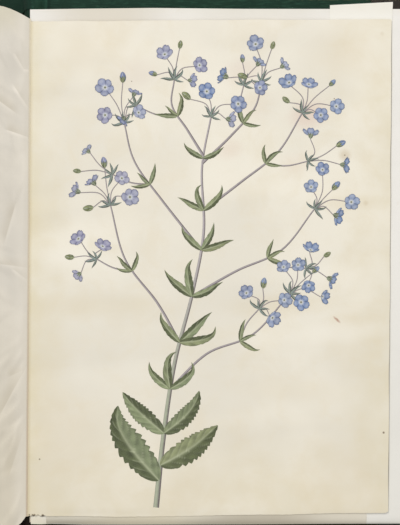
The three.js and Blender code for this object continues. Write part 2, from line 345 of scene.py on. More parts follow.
class Finish:
    """A node material, made step by step. It keeps the tone that is laid so far. A method that
    makes a value returns its socket."""

    def __init__(self, name, tone=None):
        self.material = bpy.data.materials.new(name)
        self.material.use_nodes = True
        self.tree = self.material.node_tree
        self.shader = self.tree.nodes["Principled BSDF"]
        self.place = self.tree.nodes.new("ShaderNodeTexCoord").outputs["Object"]
        self.axes = None
        self.tone = tone

    def node(self, kind, inputs=(), **settings):
        made = self.tree.nodes.new(kind)
        for key, value in settings.items():
            setattr(made, key, value)
        for key, value in dict(inputs).items():
            self.feed(made.inputs[key], value)
        return made

    def feed(self, socket, value):
        if isinstance(value, bpy.types.NodeSocket):
            self.tree.links.new(value, socket)
        elif socket.type == "RGBA":
            socket.default_value = (*value[:3], 1)
        else:
            socket.default_value = value

    def axis(self, letter):
        """One coordinate of the point, in metres."""
        if self.axes is None:
            self.axes = self.node("ShaderNodeSeparateXYZ", {"Vector": self.place})
        return self.axes.outputs[letter]

    def stretched(self, stretch, turn=0):
        """The point's place, turned and with each axis multiplied, for grain that runs one way."""
        made = self.node("ShaderNodeMapping", {
            "Vector": self.place, "Scale": [1 / part for part in stretch],
            "Rotation": (0, 0, turn)}, vector_type="TEXTURE")
        return made.outputs["Vector"]

    def noise(self, size, detail=3, rough=0.5, place=None, warp=0):
        """Cloudy noise from 0 to 1 with features of about the given size."""
        made = self.node("ShaderNodeTexNoise", {
            "Vector": place or self.place, "Scale": 1 / size, "Detail": detail,
            "Roughness": rough, "Distortion": warp})
        return made.outputs["Fac"]

    def cells(self, size, feature="F1"):
        """Distance within rounded cells of about the given size."""
        made = self.node("ShaderNodeTexVoronoi", {
            "Vector": self.place, "Scale": 1 / size}, feature=feature)
        return made.outputs["Distance"]

    def weave(self, pitch, way):
        """Fine parallel threads across one axis."""
        made = self.node("ShaderNodeTexWave", {
            "Vector": self.place, "Scale": math.tau / 20 / pitch, "Distortion": 1.5,
            "Detail": 2, "Detail Scale": 0.6}, bands_direction=way)
        return made.outputs["Fac"]

    def step(self, value, low, high, start=0, end=1):
        """An even S from start to end while the value goes from low to high."""
        made = self.node("ShaderNodeMapRange", {
            "Value": value, "From Min": low, "From Max": high, "To Min": start,
            "To Max": end}, interpolation_type="SMOOTHSTEP")
        return made.outputs["Result"]

    def math(self, operation, first, second=0.0):
        made = self.node("ShaderNodeMath", {0: first, 1: second}, operation=operation)
        return made.outputs[0]

    def plus(self, first, second):
        return self.math("ADD", first, second)

    def times(self, first, *others):
        for other in others:
            first = self.math("MULTIPLY", first, other)
        return first

    def most(self, first, *others):
        """The largest of the values."""
        for other in others:
            first = self.math("MAXIMUM", first, other)
        return first

    def apart(self, value, at):
        """How far a value is from another, whichever is larger."""
        return self.math("ABSOLUTE", self.math("SUBTRACT", value, at))

    def distance(self, letter, at=0.0):
        """How far the point is from a plane across one axis."""
        return self.apart(self.axis(letter), at)

    def local(self, x, y, slant):
        """How far the point is along and across a line through a place."""
        right = self.math("SUBTRACT", self.axis("X"), x)
        up = self.math("SUBTRACT", self.axis("Y"), y)
        cosine, sine = math.cos(slant), math.sin(slant)
        along = self.plus(self.times(right, cosine), self.times(up, sine))
        return along, self.plus(self.times(right, -sine), self.times(up, cosine))

    def blot(self, x, y, radius, slant=0.0, narrow=1.0):
        """1 in the middle of a soft spot and 0 outside it. A narrow one is long at its slant."""
        first, second = self.local(x, y, slant)
        second = self.times(second, narrow)
        far = self.plus(self.times(first, first), self.times(second, second))
        return self.step(self.math("SQRT", far), 0.15 * radius, radius, 1, 0)

    def crease(self, x, y, half, slant):
        """A crease's shaded side, to the left of its slant, and its lit ridge to the right."""
        along, across = self.local(x, y, slant)
        here = self.step(self.math("ABSOLUTE", along), 0.4 * half, half, 1, 0)
        dark = self.times(
            self.step(across, 0, 11 * MM, 1, 0), self.step(across, -0.3 * MM, 0.3 * MM), here)
        lit = self.times(
            self.step(across, -3.5 * MM, 0), self.step(across, 0, 0.7 * MM, 1, 0), here)
        return dark, lit

    def blend(self, share, first, second, way="MIX"):
        made = self.node("ShaderNodeMix", {0: share, 6: first, 7: second},
                         data_type="RGBA", blend_type=way)
        return made.outputs[2]

    def over(self, tone, *shares):
        """Lays a tone over what is there, by the product of its shares."""
        self.tone = self.blend(self.times(*shares), self.tone, tone)

    def marks(self, table, *shares):
        """Lays soft spots over what is there. Each has its X, Y and radius in mm, its share and
        its tone. A long one also has its slant and how much narrower it is than long."""
        for x, y, radius, share, tone, *form in table:
            self.over(tone, self.blot(x * MM, y * MM, radius * MM, *form), share, *shares)

    def relief(self, height, depth, strength=1.0):
        """Adds fine relief of the given depth, on top of what is there."""
        inputs = {"Height": height, "Distance": depth, "Strength": strength}
        before = self.shader.inputs["Normal"].links
        if before:
            inputs["Normal"] = before[0].from_socket
        made = self.node("ShaderNodeBump", inputs)
        self.feed(self.shader.inputs["Normal"], made.outputs["Normal"])

    def done(self, **values):
        """The material, once its shader has the tone and the given values."""
        for key, value in {"base_color": self.tone, **values}.items():
            name = key.replace("_", " ").title().replace("Ior", "IOR")
            self.feed(self.shader.inputs[name], value)
        return self.material


def shade(tone, amount):
    """A tone made darker or lighter."""
    return tuple(min(1, part * amount) for part in tone[:3])


# Bands of painted light and painted shade on the cloth that shows past the head of the leaves:
# painted light on the flank of the spine's arch that faces away from the light, painted shade over
# the highlight where the arch meets the board, and painted shade by the fold under the thin leaf. X,
# half width and where it ends in mm, share, and how light it is.
HEAD_LIGHT_AND_SHADE_BANDS = [(8.5, 3, 6, 0.8, 2.4), (14.6, 0.9, 2, 0.6, 0.5), (-18, 18, 21, 0.8, 0.6)]


def cloth_finish():
    """Green book cloth: fine threads, brushed lighter streaks, rubbed edges, a soiled tail, bands of
    painted light and painted shade at the head by the spine, and painted shade in the gutter at the
    tail.
    """
    base = colors().cloth
    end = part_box("back_cloth")[1]
    finish = Finish("Green book cloth", base)
    streak = finish.noise(1, 4, 0.6, finish.stretched((90, 600, 600)))
    rubbed = finish.noise(9 * MM, 5, 0.65)
    finish.over(shade(base, 1.9), finish.step(streak, 0.45, 0.72))
    finish.over(shade(base, 0.6), finish.step(rubbed, 0.5, 0.78, 0, 0.5))
    inside = finish.step(finish.axis("Z"), 2 * MM, 4 * MM)
    soil = finish.step(finish.axis("Y"), 14 * MM - end.y, 20 * MM - end.y, 0.9, 0)
    finish.over(srgb(53, 34, 18), soil, inside)
    # Painted light and painted shade at the head, by the spine
    at_head = finish.step(finish.axis("Y"), 226 * MM, 228 * MM)
    for x, half, band_end, share, amount in HEAD_LIGHT_AND_SHADE_BANDS:
        band = finish.step(finish.distance("X", x * MM), half * MM, band_end * MM, share, 0)
        finish.over(shade(base, amount), band, at_head, inside)
    edge = finish.most(
        finish.step(finish.distance("X"), end.x - 1.8 * MM, end.x - 0.2 * MM),
        finish.step(finish.distance("Y"), end.y - 1.1 * MM, end.y - 0.2 * MM))
    worn = finish.step(finish.noise(2.2 * MM, 6, 0.7), 0.4, 0.66, 0, 0.8)
    finish.over(srgb(88, 92, 70), edge, worn)
    threads = finish.plus(finish.weave(0.55 * MM, "X"), finish.weave(0.55 * MM, "Y"))
    finish.over(shade(base, 2.2), threads, 0.1)
    # Painted shade in the gutter at the tail, where the fold lies in shadow
    finish.over(srgb(30, 20, 14), finish.blot(0, 12 * MM - end.y, 24 * MM), inside)
    finish.relief(threads, 0.06 * MM, 0.5)
    finish.relief(rubbed, 0.2 * MM, 0.35)
    return finish.done(roughness=0.85, specular_ior_level=0.14)


def leather_finish():
    """Dark calf: pebbled grain, pale scuffs at the edges and worn gilt lines."""
    base = colors().leather
    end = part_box("back_cloth")[1]
    finish = Finish("Brown leather", shade(base, 0.62))
    grain = finish.cells(0.9 * MM, "SMOOTH_F1")
    cloudy = finish.noise(22 * MM, 5, 0.6)
    finish.over(shade(base, 1.5), finish.step(cloudy, 0.35, 0.7))
    finish.over(shade(base, 0.4), finish.step(grain, 0.35, 0.8, 0, 0.5))
    reach, ends = finish.distance("X"), finish.distance("Y")
    edge = finish.most(
        finish.step(reach, end.x - 12 * MM, end.x - 0.5 * MM),
        finish.step(ends, end.y - 1.4 * MM, end.y - 0.3 * MM),
        finish.step(finish.apart(reach, ARCH_REACH), 0, 2.5 * MM, 0.8, 0))
    scuff = finish.times(edge, finish.step(finish.noise(1.8 * MM, 7, 0.75), 0.46, 0.64, 0, 0.7))
    finish.over(srgb(98, 88, 72), scuff)
    rubbed = finish.step(finish.noise(3 * MM, 6, 0.7), 0.38, 0.5)
    gilt = finish.times(gilt_lines(finish, reach, ends), rubbed)
    finish.over(colors().gilt, gilt)
    finish.relief(grain, 0.12 * MM, 0.7)
    finish.relief(cloudy, 0.3 * MM, 0.3)
    rough = finish.blend(scuff, (0.42, 0.42, 0.42), (0.75, 0.75, 0.75))
    return finish.done(
        roughness=rough, metallic=finish.times(gilt, 0.85), specular_ior_level=0.3)


def gilt_lines(finish, reach, ends):
    """Double fillets along the leather's edges and beside each band, on its outer face."""
    strip_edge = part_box("back_leather")[1].x
    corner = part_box("back_corner_head")
    outer = finish.step(finish.axis("Z"), 0.2 * MM, 0.5 * MM, 1, 0)
    lines = []
    for inset, wide in ((2.2 * MM, 0.5 * MM), (3.6 * MM, 0.25 * MM)):
        away = finish.apart(reach, strip_edge - inset)
        lines.append(finish.times(outer, finish.step(away, wide * 0.6, wide, 1, 0)))
        slant = corner[0].x + corner[1].y + inset * math.sqrt(2)
        away = finish.apart(finish.plus(reach, ends), slant)
        lines.append(finish.times(outer, finish.step(away, wide * 0.9, wide * 1.4, 1, 0)))
    on_arch = finish.step(reach, ARCH_REACH - 2 * MM, ARCH_REACH - 1 * MM, 1, 0)
    for band_y in band_places():
        for side in (-1, 1):
            away = finish.distance("Y", band_y + side * (BAND_HALF + 2 * MM))
            lines.append(finish.times(on_arch, finish.step(away, 0.3 * MM, 0.5 * MM, 1, 0)))
    return finish.most(*lines)


def millboard_finish():
    """Grey-brown pulp with dark flecks."""
    base = colors().millboard
    finish = Finish("Millboard", shade(base, 0.75))
    pulp = finish.noise(5 * MM, 8, 0.7)
    finish.over(shade(base, 1.15), finish.step(pulp, 0.3, 0.7))
    flecks = finish.step(finish.noise(0.9 * MM, 3, 0.6), 0.6, 0.75)
    finish.over(shade(base, 0.35), flecks, 0.6)
    finish.relief(pulp, 0.2 * MM, 0.6)
    return finish.done(roughness=0.92)


def linen_finish():
    """Plain linen, browned in patches."""
    base = colors().linen
    finish = Finish("Linen tape", shade(base, 0.72))
    threads = finish.times(finish.weave(0.5 * MM, "X"), finish.weave(0.5 * MM, "Y"))
    finish.over(shade(base, 1.1), threads, 0.5)
    aged = finish.noise(14 * MM, 5, 0.6)
    finish.over(srgb(170, 142, 98), finish.step(aged, 0.4, 0.75, 0, 0.5))
    finish.relief(threads, 0.08 * MM, 0.8)
    return finish.done(roughness=0.9)


def paper_finish(name, base, warm, foxing=0.25, dusty=1.0, marks=()):
    """Wove paper: cloudy fibres, faint foxing and dusty edges. warm is the tone of its age."""
    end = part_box("back_leaves_8")[1]
    finish = Finish(name, base)
    fibres = finish.noise(1.1 * MM, 6, 0.7)
    cloudy = finish.noise(45 * MM, 4, 0.6)
    finish.over(shade(base, 0.955), finish.step(cloudy, 0.35, 0.7))
    finish.over(shade(base, 0.9), finish.step(fibres, 0.4, 0.7), 0.22)
    finish.over(warm, finish.step(finish.noise(11 * MM, 2, 0.5), 0.66, 0.74), foxing)
    dust = finish.most(
        finish.step(finish.distance("X"), end.x - 16 * MM, end.x + 1 * MM),
        finish.step(finish.distance("Y"), end.y - 6 * MM, end.y + 0.5 * MM))
    cloud = finish.step(finish.noise(18 * MM, 5, 0.6), 0.2, 0.8, 0.15 * dusty, 0.6 * dusty)
    finish.over(warm, dust, cloud)
    finish.marks(marks)
    finish.relief(fibres, 0.05 * MM, 0.5)
    finish.relief(cloudy, 0.6 * MM, 0.25)
    return finish.done(roughness=0.86, specular_ior_level=0.3)


def parchment_finish():
    """Skin of the plate: cloudy cream, hair pores, age and marks."""
    base = colors().parchment
    finish = Finish("Plate skin", shade(base, 1.04))
    cloudy = finish.noise(34 * MM, 5, 0.62, warp=0.4)
    pores = finish.cells(0.8 * MM)
    veins = finish.noise(1, 5, 0.65, finish.stretched((26, 60, 60), 0.5), 0.8)
    bands = finish.noise(1, 1, 0.4, finish.stretched((5.5, 15, 10), 0.08), 0.6)
    finish.over(shade(base, 0.95), finish.step(finish.noise(120 * MM, 3, 0.55), 0.35, 0.68))
    finish.over(srgb(232, 221, 196), finish.step(cloudy, 0.42, 0.72, 0, 0.4))
    finish.over(srgb(241, 236, 222), finish.step(veins, 0.55, 0.8, 0, 0.35))
    finish.over(shade(base, 0.7), finish.step(pores, 0.0, 0.22, 0.16, 0))
    age_plate(finish)
    finish.relief(pores, 0.03 * MM, 0.4)
    finish.relief(cloudy, 0.35 * MM, 0.3)
    finish.relief(veins, 0.15 * MM, 0.25)
    finish.relief(bands, 6 * MM, 0.6)
    return finish.done(
        roughness=0.58, specular_ior_level=0.35, coat_weight=0.04, coat_roughness=0.4)


def alike(tone, slant, narrow, *marks):
    """Marks that share their tone and form, each with its X, Y and radius in mm and its share."""
    return [(*mark, tone, slant, narrow) for mark in marks]


PINK_STAINS = alike(
    srgb(214, 176, 160), 0.3, 1.4,
    (257, 141, 25, 0.36), (246, 96, 22, 0.1), (205, 148, 26, 0.08), (196, 180, 26, 0.16),
    (184, 108, 18, 0.16), (100, 178, 30, 0.1))
YELLOW_STAINS = alike(
    srgb(214, 188, 134), 0.5, 1.3,
    (40, -150, 60, 0.18), (90, 60, 46, 0.1), (300, -60, 50, 0.14), (150, -205, 40, 0.14),
    (60, 205, 52, 0.26), (285, 200, 44, 0.26), (290, -200, 60, 0.22))
# Long soft bands of painted light and painted shade where the cockles of the skin catch or lose the
# light: X, Y and half length in mm, share, tone and slant in degrees
COCKLE_LIGHT, COCKLE_SHADE = srgb(247, 242, 229), srgb(221, 208, 178)
PAINTED_COCKLE_BANDS = [
    (x, y, half, share, tone, math.radians(slant), 4.5)
    for x, y, half, share, tone, slant in (
        (52, 7, 62, 0.5, COCKLE_LIGHT, -5), (70, -36, 76, 0.32, COCKLE_SHADE, 0),
        (256, -8, 84, 0.35, COCKLE_LIGHT, 1), (229, -34, 70, 0.34, COCKLE_SHADE, 3),
        (286, -59, 66, 0.5, COCKLE_LIGHT, 5), (300, 60, 44, 0.3, COCKLE_SHADE, 2),
        (110, -96, 80, 0.25, COCKLE_LIGHT, 4), (240, -112, 76, 0.2, COCKLE_SHADE, -2))
]
RED_FLECK = alike(srgb(184, 142, 122), -0.74, 3.4, (284.3, -47.4, 5.6, 1))
SPECKS_AND_NICK_SHADOWS = alike(
    srgb(200, 180, 146), 0, 1, (290.5, 104, 8, 0.45), (310, 60, 3.5, 0.3), (324, 216, 3, 0.2))
# Dark brown specks; the last four, at the nicks of the tail edge near the fold, are painted shadow
# under the nicks
SPECKS_AND_NICK_SHADOWS += alike(
    srgb(112, 92, 66), 0, 1,
    (94, 170.5, 0.9, 0.7), (280.5, 155.8, 1, 0.8), (328, -151, 1.5, 0.95),
    (11.7, -177.7, 1.1, 0.85), (290.5, 104, 1, 0.8), (5.6, -229.2, 1.6, 0.95),
    (7.4, -229.1, 1.5, 0.95), (14.9, -229.4, 1.8, 0.95), (2.6, -229, 1.3, 0.8))


def age_plate(finish):
    """Yellowed margins, painted shade along the fold, a darker tail, faint stains, bands of painted
    light and painted shade over the cockles, a red fleck, a few specks, and painted shadow under the
    nicks of the tail edge.
    """
    low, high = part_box("plate")
    x, y = finish.axis("X"), finish.axis("Y")
    cloud = finish.noise(26 * MM, 5, 0.6)
    margin = finish.most(
        finish.step(x, low.x, low.x + 52 * MM, 0.75, 0),
        finish.step(x, high.x - 66 * MM, high.x),
        finish.step(y, low.y, low.y + 110 * MM, 0.9, 0))
    patches = finish.step(finish.noise(60 * MM, 4, 0.6), 0.3, 0.7, 0.08, 0.4)
    finish.over(srgb(218, 204, 162), margin, patches)
    near_fold = finish.step(x, low.x, low.x + 15 * MM, 1, 0)
    finish.over(colors().yellowed, near_fold, finish.step(cloud, 0.2, 0.8, 0.05, 0.38))
    # Painted shade along the fold, where the skin dips into the gutter, weaker towards the head
    fold_shade_line = finish.step(x, low.x - 0.6 * MM, low.x + 3 * MM, 0.5, 0)
    finish.over(srgb(197, 180, 140), fold_shade_line, finish.step(y, low.y, high.y, 1, 0.75))
    lower = finish.step(y, low.y, low.y + 190 * MM, 0.16, 0)
    finish.over(srgb(222, 205, 172), lower, cloud)
    finish.marks(PINK_STAINS)
    finish.marks(YELLOW_STAINS, cloud)
    finish.marks(PAINTED_COCKLE_BANDS)
    finish.marks(RED_FLECK, finish.step(finish.noise(1.6 * MM, 4), 0.25, 0.55, 0.5, 1))
    finish.marks(SPECKS_AND_NICK_SHADOWS)


BACKING_STAINS = [
    (105, -236, 76, 0.7, srgb(222, 212, 186)), (214, -234, 80, 0.6, srgb(177, 167, 146))]


def toned_backing_finish():
    """The skin under the plate, darker and stained towards its tail end."""
    low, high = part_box("backing_sheet")
    finish = Finish("Backing skin", srgb(224, 218, 202))
    cloudy = finish.noise(52 * MM, 5, 0.55)
    finish.over(srgb(224, 217, 201), finish.step(finish.axis("X"), low.x, high.x))
    finish.over(srgb(203, 195, 174), finish.step(cloudy, 0.35, 0.75, 0, 0.32))
    darker_tail = finish.step(finish.axis("Y"), low.y - 2 * MM, low.y + 6 * MM, 0.75, 0)
    finish.over(srgb(176, 169, 148), darker_tail)
    finish.marks(BACKING_STAINS)
    finish.relief(finish.cells(0.8 * MM), 0.03 * MM, 0.4)
    finish.relief(cloudy, 0.4 * MM, 0.35)
    return finish.done(roughness=0.62, specular_ior_level=0.35)


def paint_finish():
    """Body colour on skin: the painted tint with pigment grain, dry and slightly raised."""
    finish = Finish("Body colour")
    finish.tone = finish.node("ShaderNodeAttribute", attribute_name="paint").outputs["Color"]
    grain = finish.noise(0.7 * MM, 5, 0.7)
    finish.over((0.9, 0.88, 0.82), finish.step(grain, 0.35, 0.7, 0, 0.07))
    wash = finish.step(finish.noise(5 * MM, 4, 0.6), 0.4, 0.75, 0, 0.4)
    finish.tone = finish.blend(wash, finish.tone, (0.78, 0.78, 0.8), "MULTIPLY")
    finish.relief(grain, 0.02 * MM, 0.5)
    return finish.done(roughness=0.8, specular_ior_level=0.25)


def floor_finish():
    finish = Finish("Pale floor", (0.76, 0.75, 0.73))
    finish.over((0.8, 0.79, 0.77), finish.noise(0.4, 3, 0.5))
    return finish.done(roughness=0.9, specular_ior_level=0.2)


def repaint(node, material):
    """Gives a CAD node the material in place of its plain one."""
    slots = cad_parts[node].data.materials
    slots.clear()
    slots.append(material)


# ---- The stage ----

EYE = (158.0 * MM, 4.3 * MM)  # the camera looks straight down at this point
EYE_TURN = math.radians(0.401)
SEEN_HEIGHT = 483 * MM  # what the frame's height takes in at the plate
SENSOR = 36
FLOOR_HALF = 7.0
FLOOR_THICK = 5 * MM
FLOOR_GAP = 0.1 * MM  # the floor lies this far under the covers


class ALBUM_OT_stage(bpy.types.Operator):
    """Make the floor, the soft lights and the camera that looks down at the plate"""

    bl_idname = "album.stage"
    bl_label = "Stage"

    def execute(self, context):
        scene = context.scene
        high = light().eye_height
        lens = bpy.data.cameras.new("camera")
        lens.sensor_fit = "VERTICAL"
        lens.sensor_height = SENSOR
        lens.lens = SENSOR * high / SEEN_HEIGHT
        scene.camera = added("camera", lens)
        scene.camera.location = (*EYE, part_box("plate")[1].z + high)
        scene.camera.rotation_euler = (0, 0, EYE_TURN)

        floor = Solids()
        sides = np.meshgrid((-FLOOR_HALF, FLOOR_HALF), (-FLOOR_HALF, FLOOR_HALF))
        floor.add_sheet(grid(*sides, -FLOOR_GAP), FLOOR_THICK)
        floor.build("floor", floor_finish())

        soft_light("key", (-1.0, 2.55, 2.5), 1.6, light().key)
        soft_light("fill", (1.3, -0.9, 1.3), 1.4, light().fill)
        world = bpy.data.worlds.new("room")
        world.use_nodes = True
        background = world.node_tree.nodes["Background"]
        background.inputs["Color"].default_value = (1, 0.995, 0.985, 1)
        background.inputs["Strength"].default_value = light().room
        scene.world = world
        scene.view_settings.view_transform = "Standard"
        return {"FINISHED"}


def soft_light(name, place, wide, power):
    """A square light that faces the album."""
    lamp = bpy.data.lights.new(name, "AREA")
    lamp.size = wide
    lamp.energy = power
    lamp.color = (1, 0.99, 0.975)
    holder = added(name, lamp)
    holder.location = place
    x, y, z = place
    holder.rotation_euler = (
        math.atan2(math.hypot(x, y), z), 0, math.atan2(-y, -x) - math.pi / 2)


# ---- The covers ----

END_STRIP = 6 * MM  # the covering within this distance of head and tail stands past the boards


def rounded_cover(node, radius, material):
    """A copy of a covering whose outer edges are rounded, as cloth and leather turn them."""
    shape = bmesh.new()
    shape.from_mesh(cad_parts[node].data)
    bmesh.ops.remove_doubles(shape, verts=shape.verts, dist=1e-6)
    bmesh.ops.dissolve_limit(
        shape, angle_limit=math.radians(1), verts=shape.verts, edges=shape.edges)
    low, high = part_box("back_cloth")

    def is_outer(edge):
        """True where two outer faces of the covering meet."""
        x, y, z = (edge.verts[0].co + edge.verts[1].co) / 2
        gaps = (min(abs(z - low.z), abs(z - high.z)), abs(x) - high.x, abs(y) - high.y)
        return sum(abs(gap) < 0.01 * MM for gap in gaps) > 1

    bmesh.ops.bevel(
        shape, geom=[edge for edge in shape.edges if is_outer(edge)], offset=radius,
        segments=5, profile=0.5, affect="EDGES", clamp_overlap=True)
    for vertex in shape.verts:
        if abs(vertex.co.y) > high.y - END_STRIP:
            vertex.co.y += math.copysign(sizes().cover_reach, vertex.co.y)
    mesh = bpy.data.meshes.new(node)
    return finished("rounded_" + node, mesh, shape, material, crisp=32)


class ALBUM_OT_covers(bpy.types.Operator):
    """Cover the boards with green cloth and leather corners, and line them with paper"""

    bl_idname = "album.covers"
    bl_label = "Covers"

    def execute(self, context):
        cloth = cloth_finish()
        leather = leather_finish()
        board = millboard_finish()
        lining = paper_finish("Endpaper", colors().endpaper, srgb(186, 164, 122), 0.4)
        for half in HALVES:
            coverings = (
                ("cloth", cloth, "green_cloth"), ("corner_head", leather, "brown_leather"),
                ("corner_tail", leather, "brown_leather"))
            for part, material, slot in coverings:
                node = f"{half}_{part}"
                piece = rounded_cover(node, sizes().board_round, material)
                settle(piece, half, slot, node)
            repaint(f"{half}_board", board)
            repaint(f"{half}_pastedown", lining)
        return {"FINISHED"}


# ---- The spine ----

BAND_HALF = 5.5 * MM
BAND_EASE = 1.6 * MM
EDGE_ROUND = 1.1 * MM
LIP = 0.4 * MM  # thickness of the leather's turned-in end
ARCH_TOP, ARCH_FOLD = 1.95 * MM, 1.9 * MM  # height and reach of the turned-in end on the arch
BOARD_FOLD = 15 * MM  # its reach on the boards
JOINT_THICK = 0.4 * MM
JOINT_END = 236.2 * MM  # the joint's flanges end here at head and tail
LINING_THICK = 0.13 * MM
LINING_TAIL, LINING_HEAD = -239.4 * MM, 236.8 * MM  # cloth lines the back past these places
TAPE_THICK = 0.25 * MM
TAPE_Z = 4.2 * MM  # height of the tapes on the boards


def band_places():
    """Height up the page of each tape, and of the band it makes on the spine."""
    boxes = [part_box(f"back_tape_{i + 1}") for i in range(TAPES)]
    return [(low.y + high.y) / 2 for low, high in boxes]


def arch_stations(x_end):
    """Places across the spine, close together on its arch, from one edge to the other."""
    if x_end <= ARCH_REACH:
        return np.linspace(-x_end, x_end, 57)
    arch = np.linspace(-ARCH_REACH, ARCH_REACH, 61)
    flat = np.linspace(ARCH_REACH, x_end, 9)[1:]
    return np.concatenate([-flat[::-1], arch, flat])


def bend_at_fold(piece, slot, *nodes):
    """Fixes a piece in place where it stands and hides the CAD nodes it stands for."""
    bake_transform(piece)
    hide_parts(*nodes)


def arch_strip(x_end, lift, thickness, flat_z, y_low, y_high, rows, ease=0):
    """A closed strip over the spine's arch that lies level beyond it. ease rounds the hollow
    between the two."""
    xs, ys = np.meshgrid(arch_stations(x_end), np.linspace(y_low, y_high, rows))
    soft = 0.02 * MM + ease * smooth(44 * MM, 14 * MM, np.abs(xs))
    faces = (
        soft * np.logaddexp(arch_z(xs, lift + rise) / soft, (flat_z + rise) / soft)
        for rise in (thickness, 0))
    return [grid(xs, ys, zs) for zs in faces]


def leather_ring(x, reach, top, fold, ys):
    """One section of the leather back, along the page: outer face, turned end, inner face.
    top is how high the turned end stands and fold how far it reaches inwards."""
    rounding = min(EDGE_ROUND, top / 2)
    turn = np.linspace(0, math.pi / 2, 5)
    low_round = [(reach - rounding * (1 - math.sin(a)), rounding * (1 - math.cos(a))) for a in turn]
    crown = min(rounding, (top - LIP) / 2, 0.5 * MM)
    high_round = [(reach - crown * (1 - math.cos(a)), top - crown * (1 - math.sin(a))) for a in turn]
    inner = [
        (reach - fold, top), (reach - fold, top - LIP), (reach - COVER, top - LIP),
        (reach - COVER, COVER),
    ]
    end = low_round + high_round + inner
    bands = np.zeros_like(ys)
    for place in band_places():
        bands += smooth(BAND_HALF, BAND_HALF - BAND_EASE, np.abs(ys - place))
    taper = 1 - float(smooth(ARCH_REACH - 5 * MM, ARCH_REACH - 1 * MM, abs(x)))
    outer = [(y, -sizes().band_rise * b * taper) for y, b in zip(ys, bands)]
    back = [(y, COVER) for y in ys[::-1]]
    tail = [(-y, n) for y, n in reversed(end)]
    return outer + end + back + tail


class ALBUM_OT_spine(bpy.types.Operator):
    """Make the leather back with its bands, the cloth joint and the sewing tapes"""

    bl_idname = "album.spine"
    bl_label = "Spine"

    def execute(self, context):
        self.leather_back()
        self.cloth_joint()
        self.tapes()
        return {"FINISHED"}

    def leather_back(self):
        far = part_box("back_leather")[1]
        board_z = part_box("back_cloth")[1].z
        reach = far.y + sizes().cover_reach
        ys = np.linspace(EDGE_ROUND - reach, reach - EDGE_ROUND, 260)[1:-1]
        rings = []
        for x in arch_stations(far.x):
            on_board = float(smooth(ARCH_REACH - 1.2 * MM, ARCH_REACH + 0.3 * MM, abs(x)))
            top = ARCH_TOP + (board_z - ARCH_TOP) * on_board
            fold = ARCH_FOLD + (BOARD_FOLD - ARCH_FOLD) * on_board
            along, out = np.transpose(leather_ring(x, reach, top, fold, ys))
            z = arch_z(x, 0) + out * (arch_z(x, MM) - arch_z(x, 0)) / MM
            rings.append(grid(x, along, z))
        solid = Solids()
        solid.add(*closed_tube(np.array(rings)))
        piece = solid.build("leather_back", bpy.data.materials["Brown leather"])
        bend_at_fold(piece, "brown_leather", "back_leather", "front_leather")

    def cloth_joint(self):
        """The joint over the arch, its flanges on the boards, and the cloth that lines the back
        at head and tail."""
        board_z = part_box("back_cloth")[1].z
        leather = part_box("back_leather")[1]
        reach = leather.y - 0.9 * MM + sizes().cover_reach
        inner = ARCH_REACH - 0.4 * MM
        joint = Solids()
        joint.add_between(*arch_strip(
            inner, 1.25 * MM, JOINT_THICK, board_z - JOINT_THICK, -reach, reach, 90))
        across = np.linspace(inner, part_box("back_joint")[1].x, 8)
        for side in (-1, 1):
            xs, ys = np.meshgrid(side * across, np.linspace(-JOINT_END, JOINT_END, 60))
            joint.add_sheet(grid(xs, ys, board_z), JOINT_THICK)
        for near, far in ((-reach, LINING_TAIL), (LINING_HEAD, reach)):
            joint.add_between(*arch_strip(
                leather.x + 0.3 * MM, ARCH_TOP + 0.02 * MM, LINING_THICK,
                board_z + 0.02 * MM, near, far, 8, 4 * MM))
        piece = joint.build("cloth_joint", bpy.data.materials["Green book cloth"])
        bend_at_fold(piece, "green_cloth", "back_joint", "front_joint")

    def tapes(self):
        linen = linen_finish()
        for i in range(TAPES):
            low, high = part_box(f"back_tape_{i + 1}")
            solid = Solids()
            solid.add_between(*arch_strip(
                high.x, 0.9 * MM, TAPE_THICK, TAPE_Z, low.y, high.y, 6))
            piece = solid.build(f"sewing_tape_{i + 1}", linen)
            bend_at_fold(piece, "linen", f"back_tape_{i + 1}", f"front_tape_{i + 1}")


# ---- The leaves ----


DROOP_LONG = 9 * MM  # the leaves droop over this distance from their tail edge


def tail_droop(x, y, z):
    """How far a leaf at height z hangs down near its tail edge, clear of the spine."""
    start = DROOP_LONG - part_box("back_leaves_1")[1].y
    depth = np.clip((start - y) / DROOP_LONG, 0, 1.25) ** 2.2
    free = smooth(10 * MM, 26 * MM, np.abs(x))
    return sizes().tail_drop * depth * free * (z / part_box("back_leaves_8")[1].z) ** 2


def thin_leaf_points():
    """The CAD thin leaf's points, with X as the distance from the fold."""
    found = np.array([v.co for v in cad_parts["interleaf"].data.vertices])
    found[:, 0] *= -1
    return found


def at_each_distance(points, pick):
    """Each distance from the fold at which there are points, and what pick takes from them."""
    us = np.unique(points[:, 0].round(5))
    return us, np.array([pick(points[np.abs(points[:, 0] - u) < 2e-5]) for u in us])


def thin_leaf_edge(end):
    """Distance from the fold and Y of the thin leaf's head edge (1) or tail edge (-1)."""
    found = thin_leaf_points()
    found = found[found[:, 1] * end > 0]
    return at_each_distance(found, lambda near: end * (near[:, 1] * end).max())


def inner_edge(node):
    """Heights and distances from the fold of a bundle's inner edge, in order of height."""
    points = np.array([v.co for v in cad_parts[node].data.vertices])
    near = np.abs(points[:, 0]) < 100 * MM
    pairs = np.unique(np.abs(points[near][:, [2, 0]]).round(7), axis=0)
    return pairs[:, 0], pairs[:, 1]


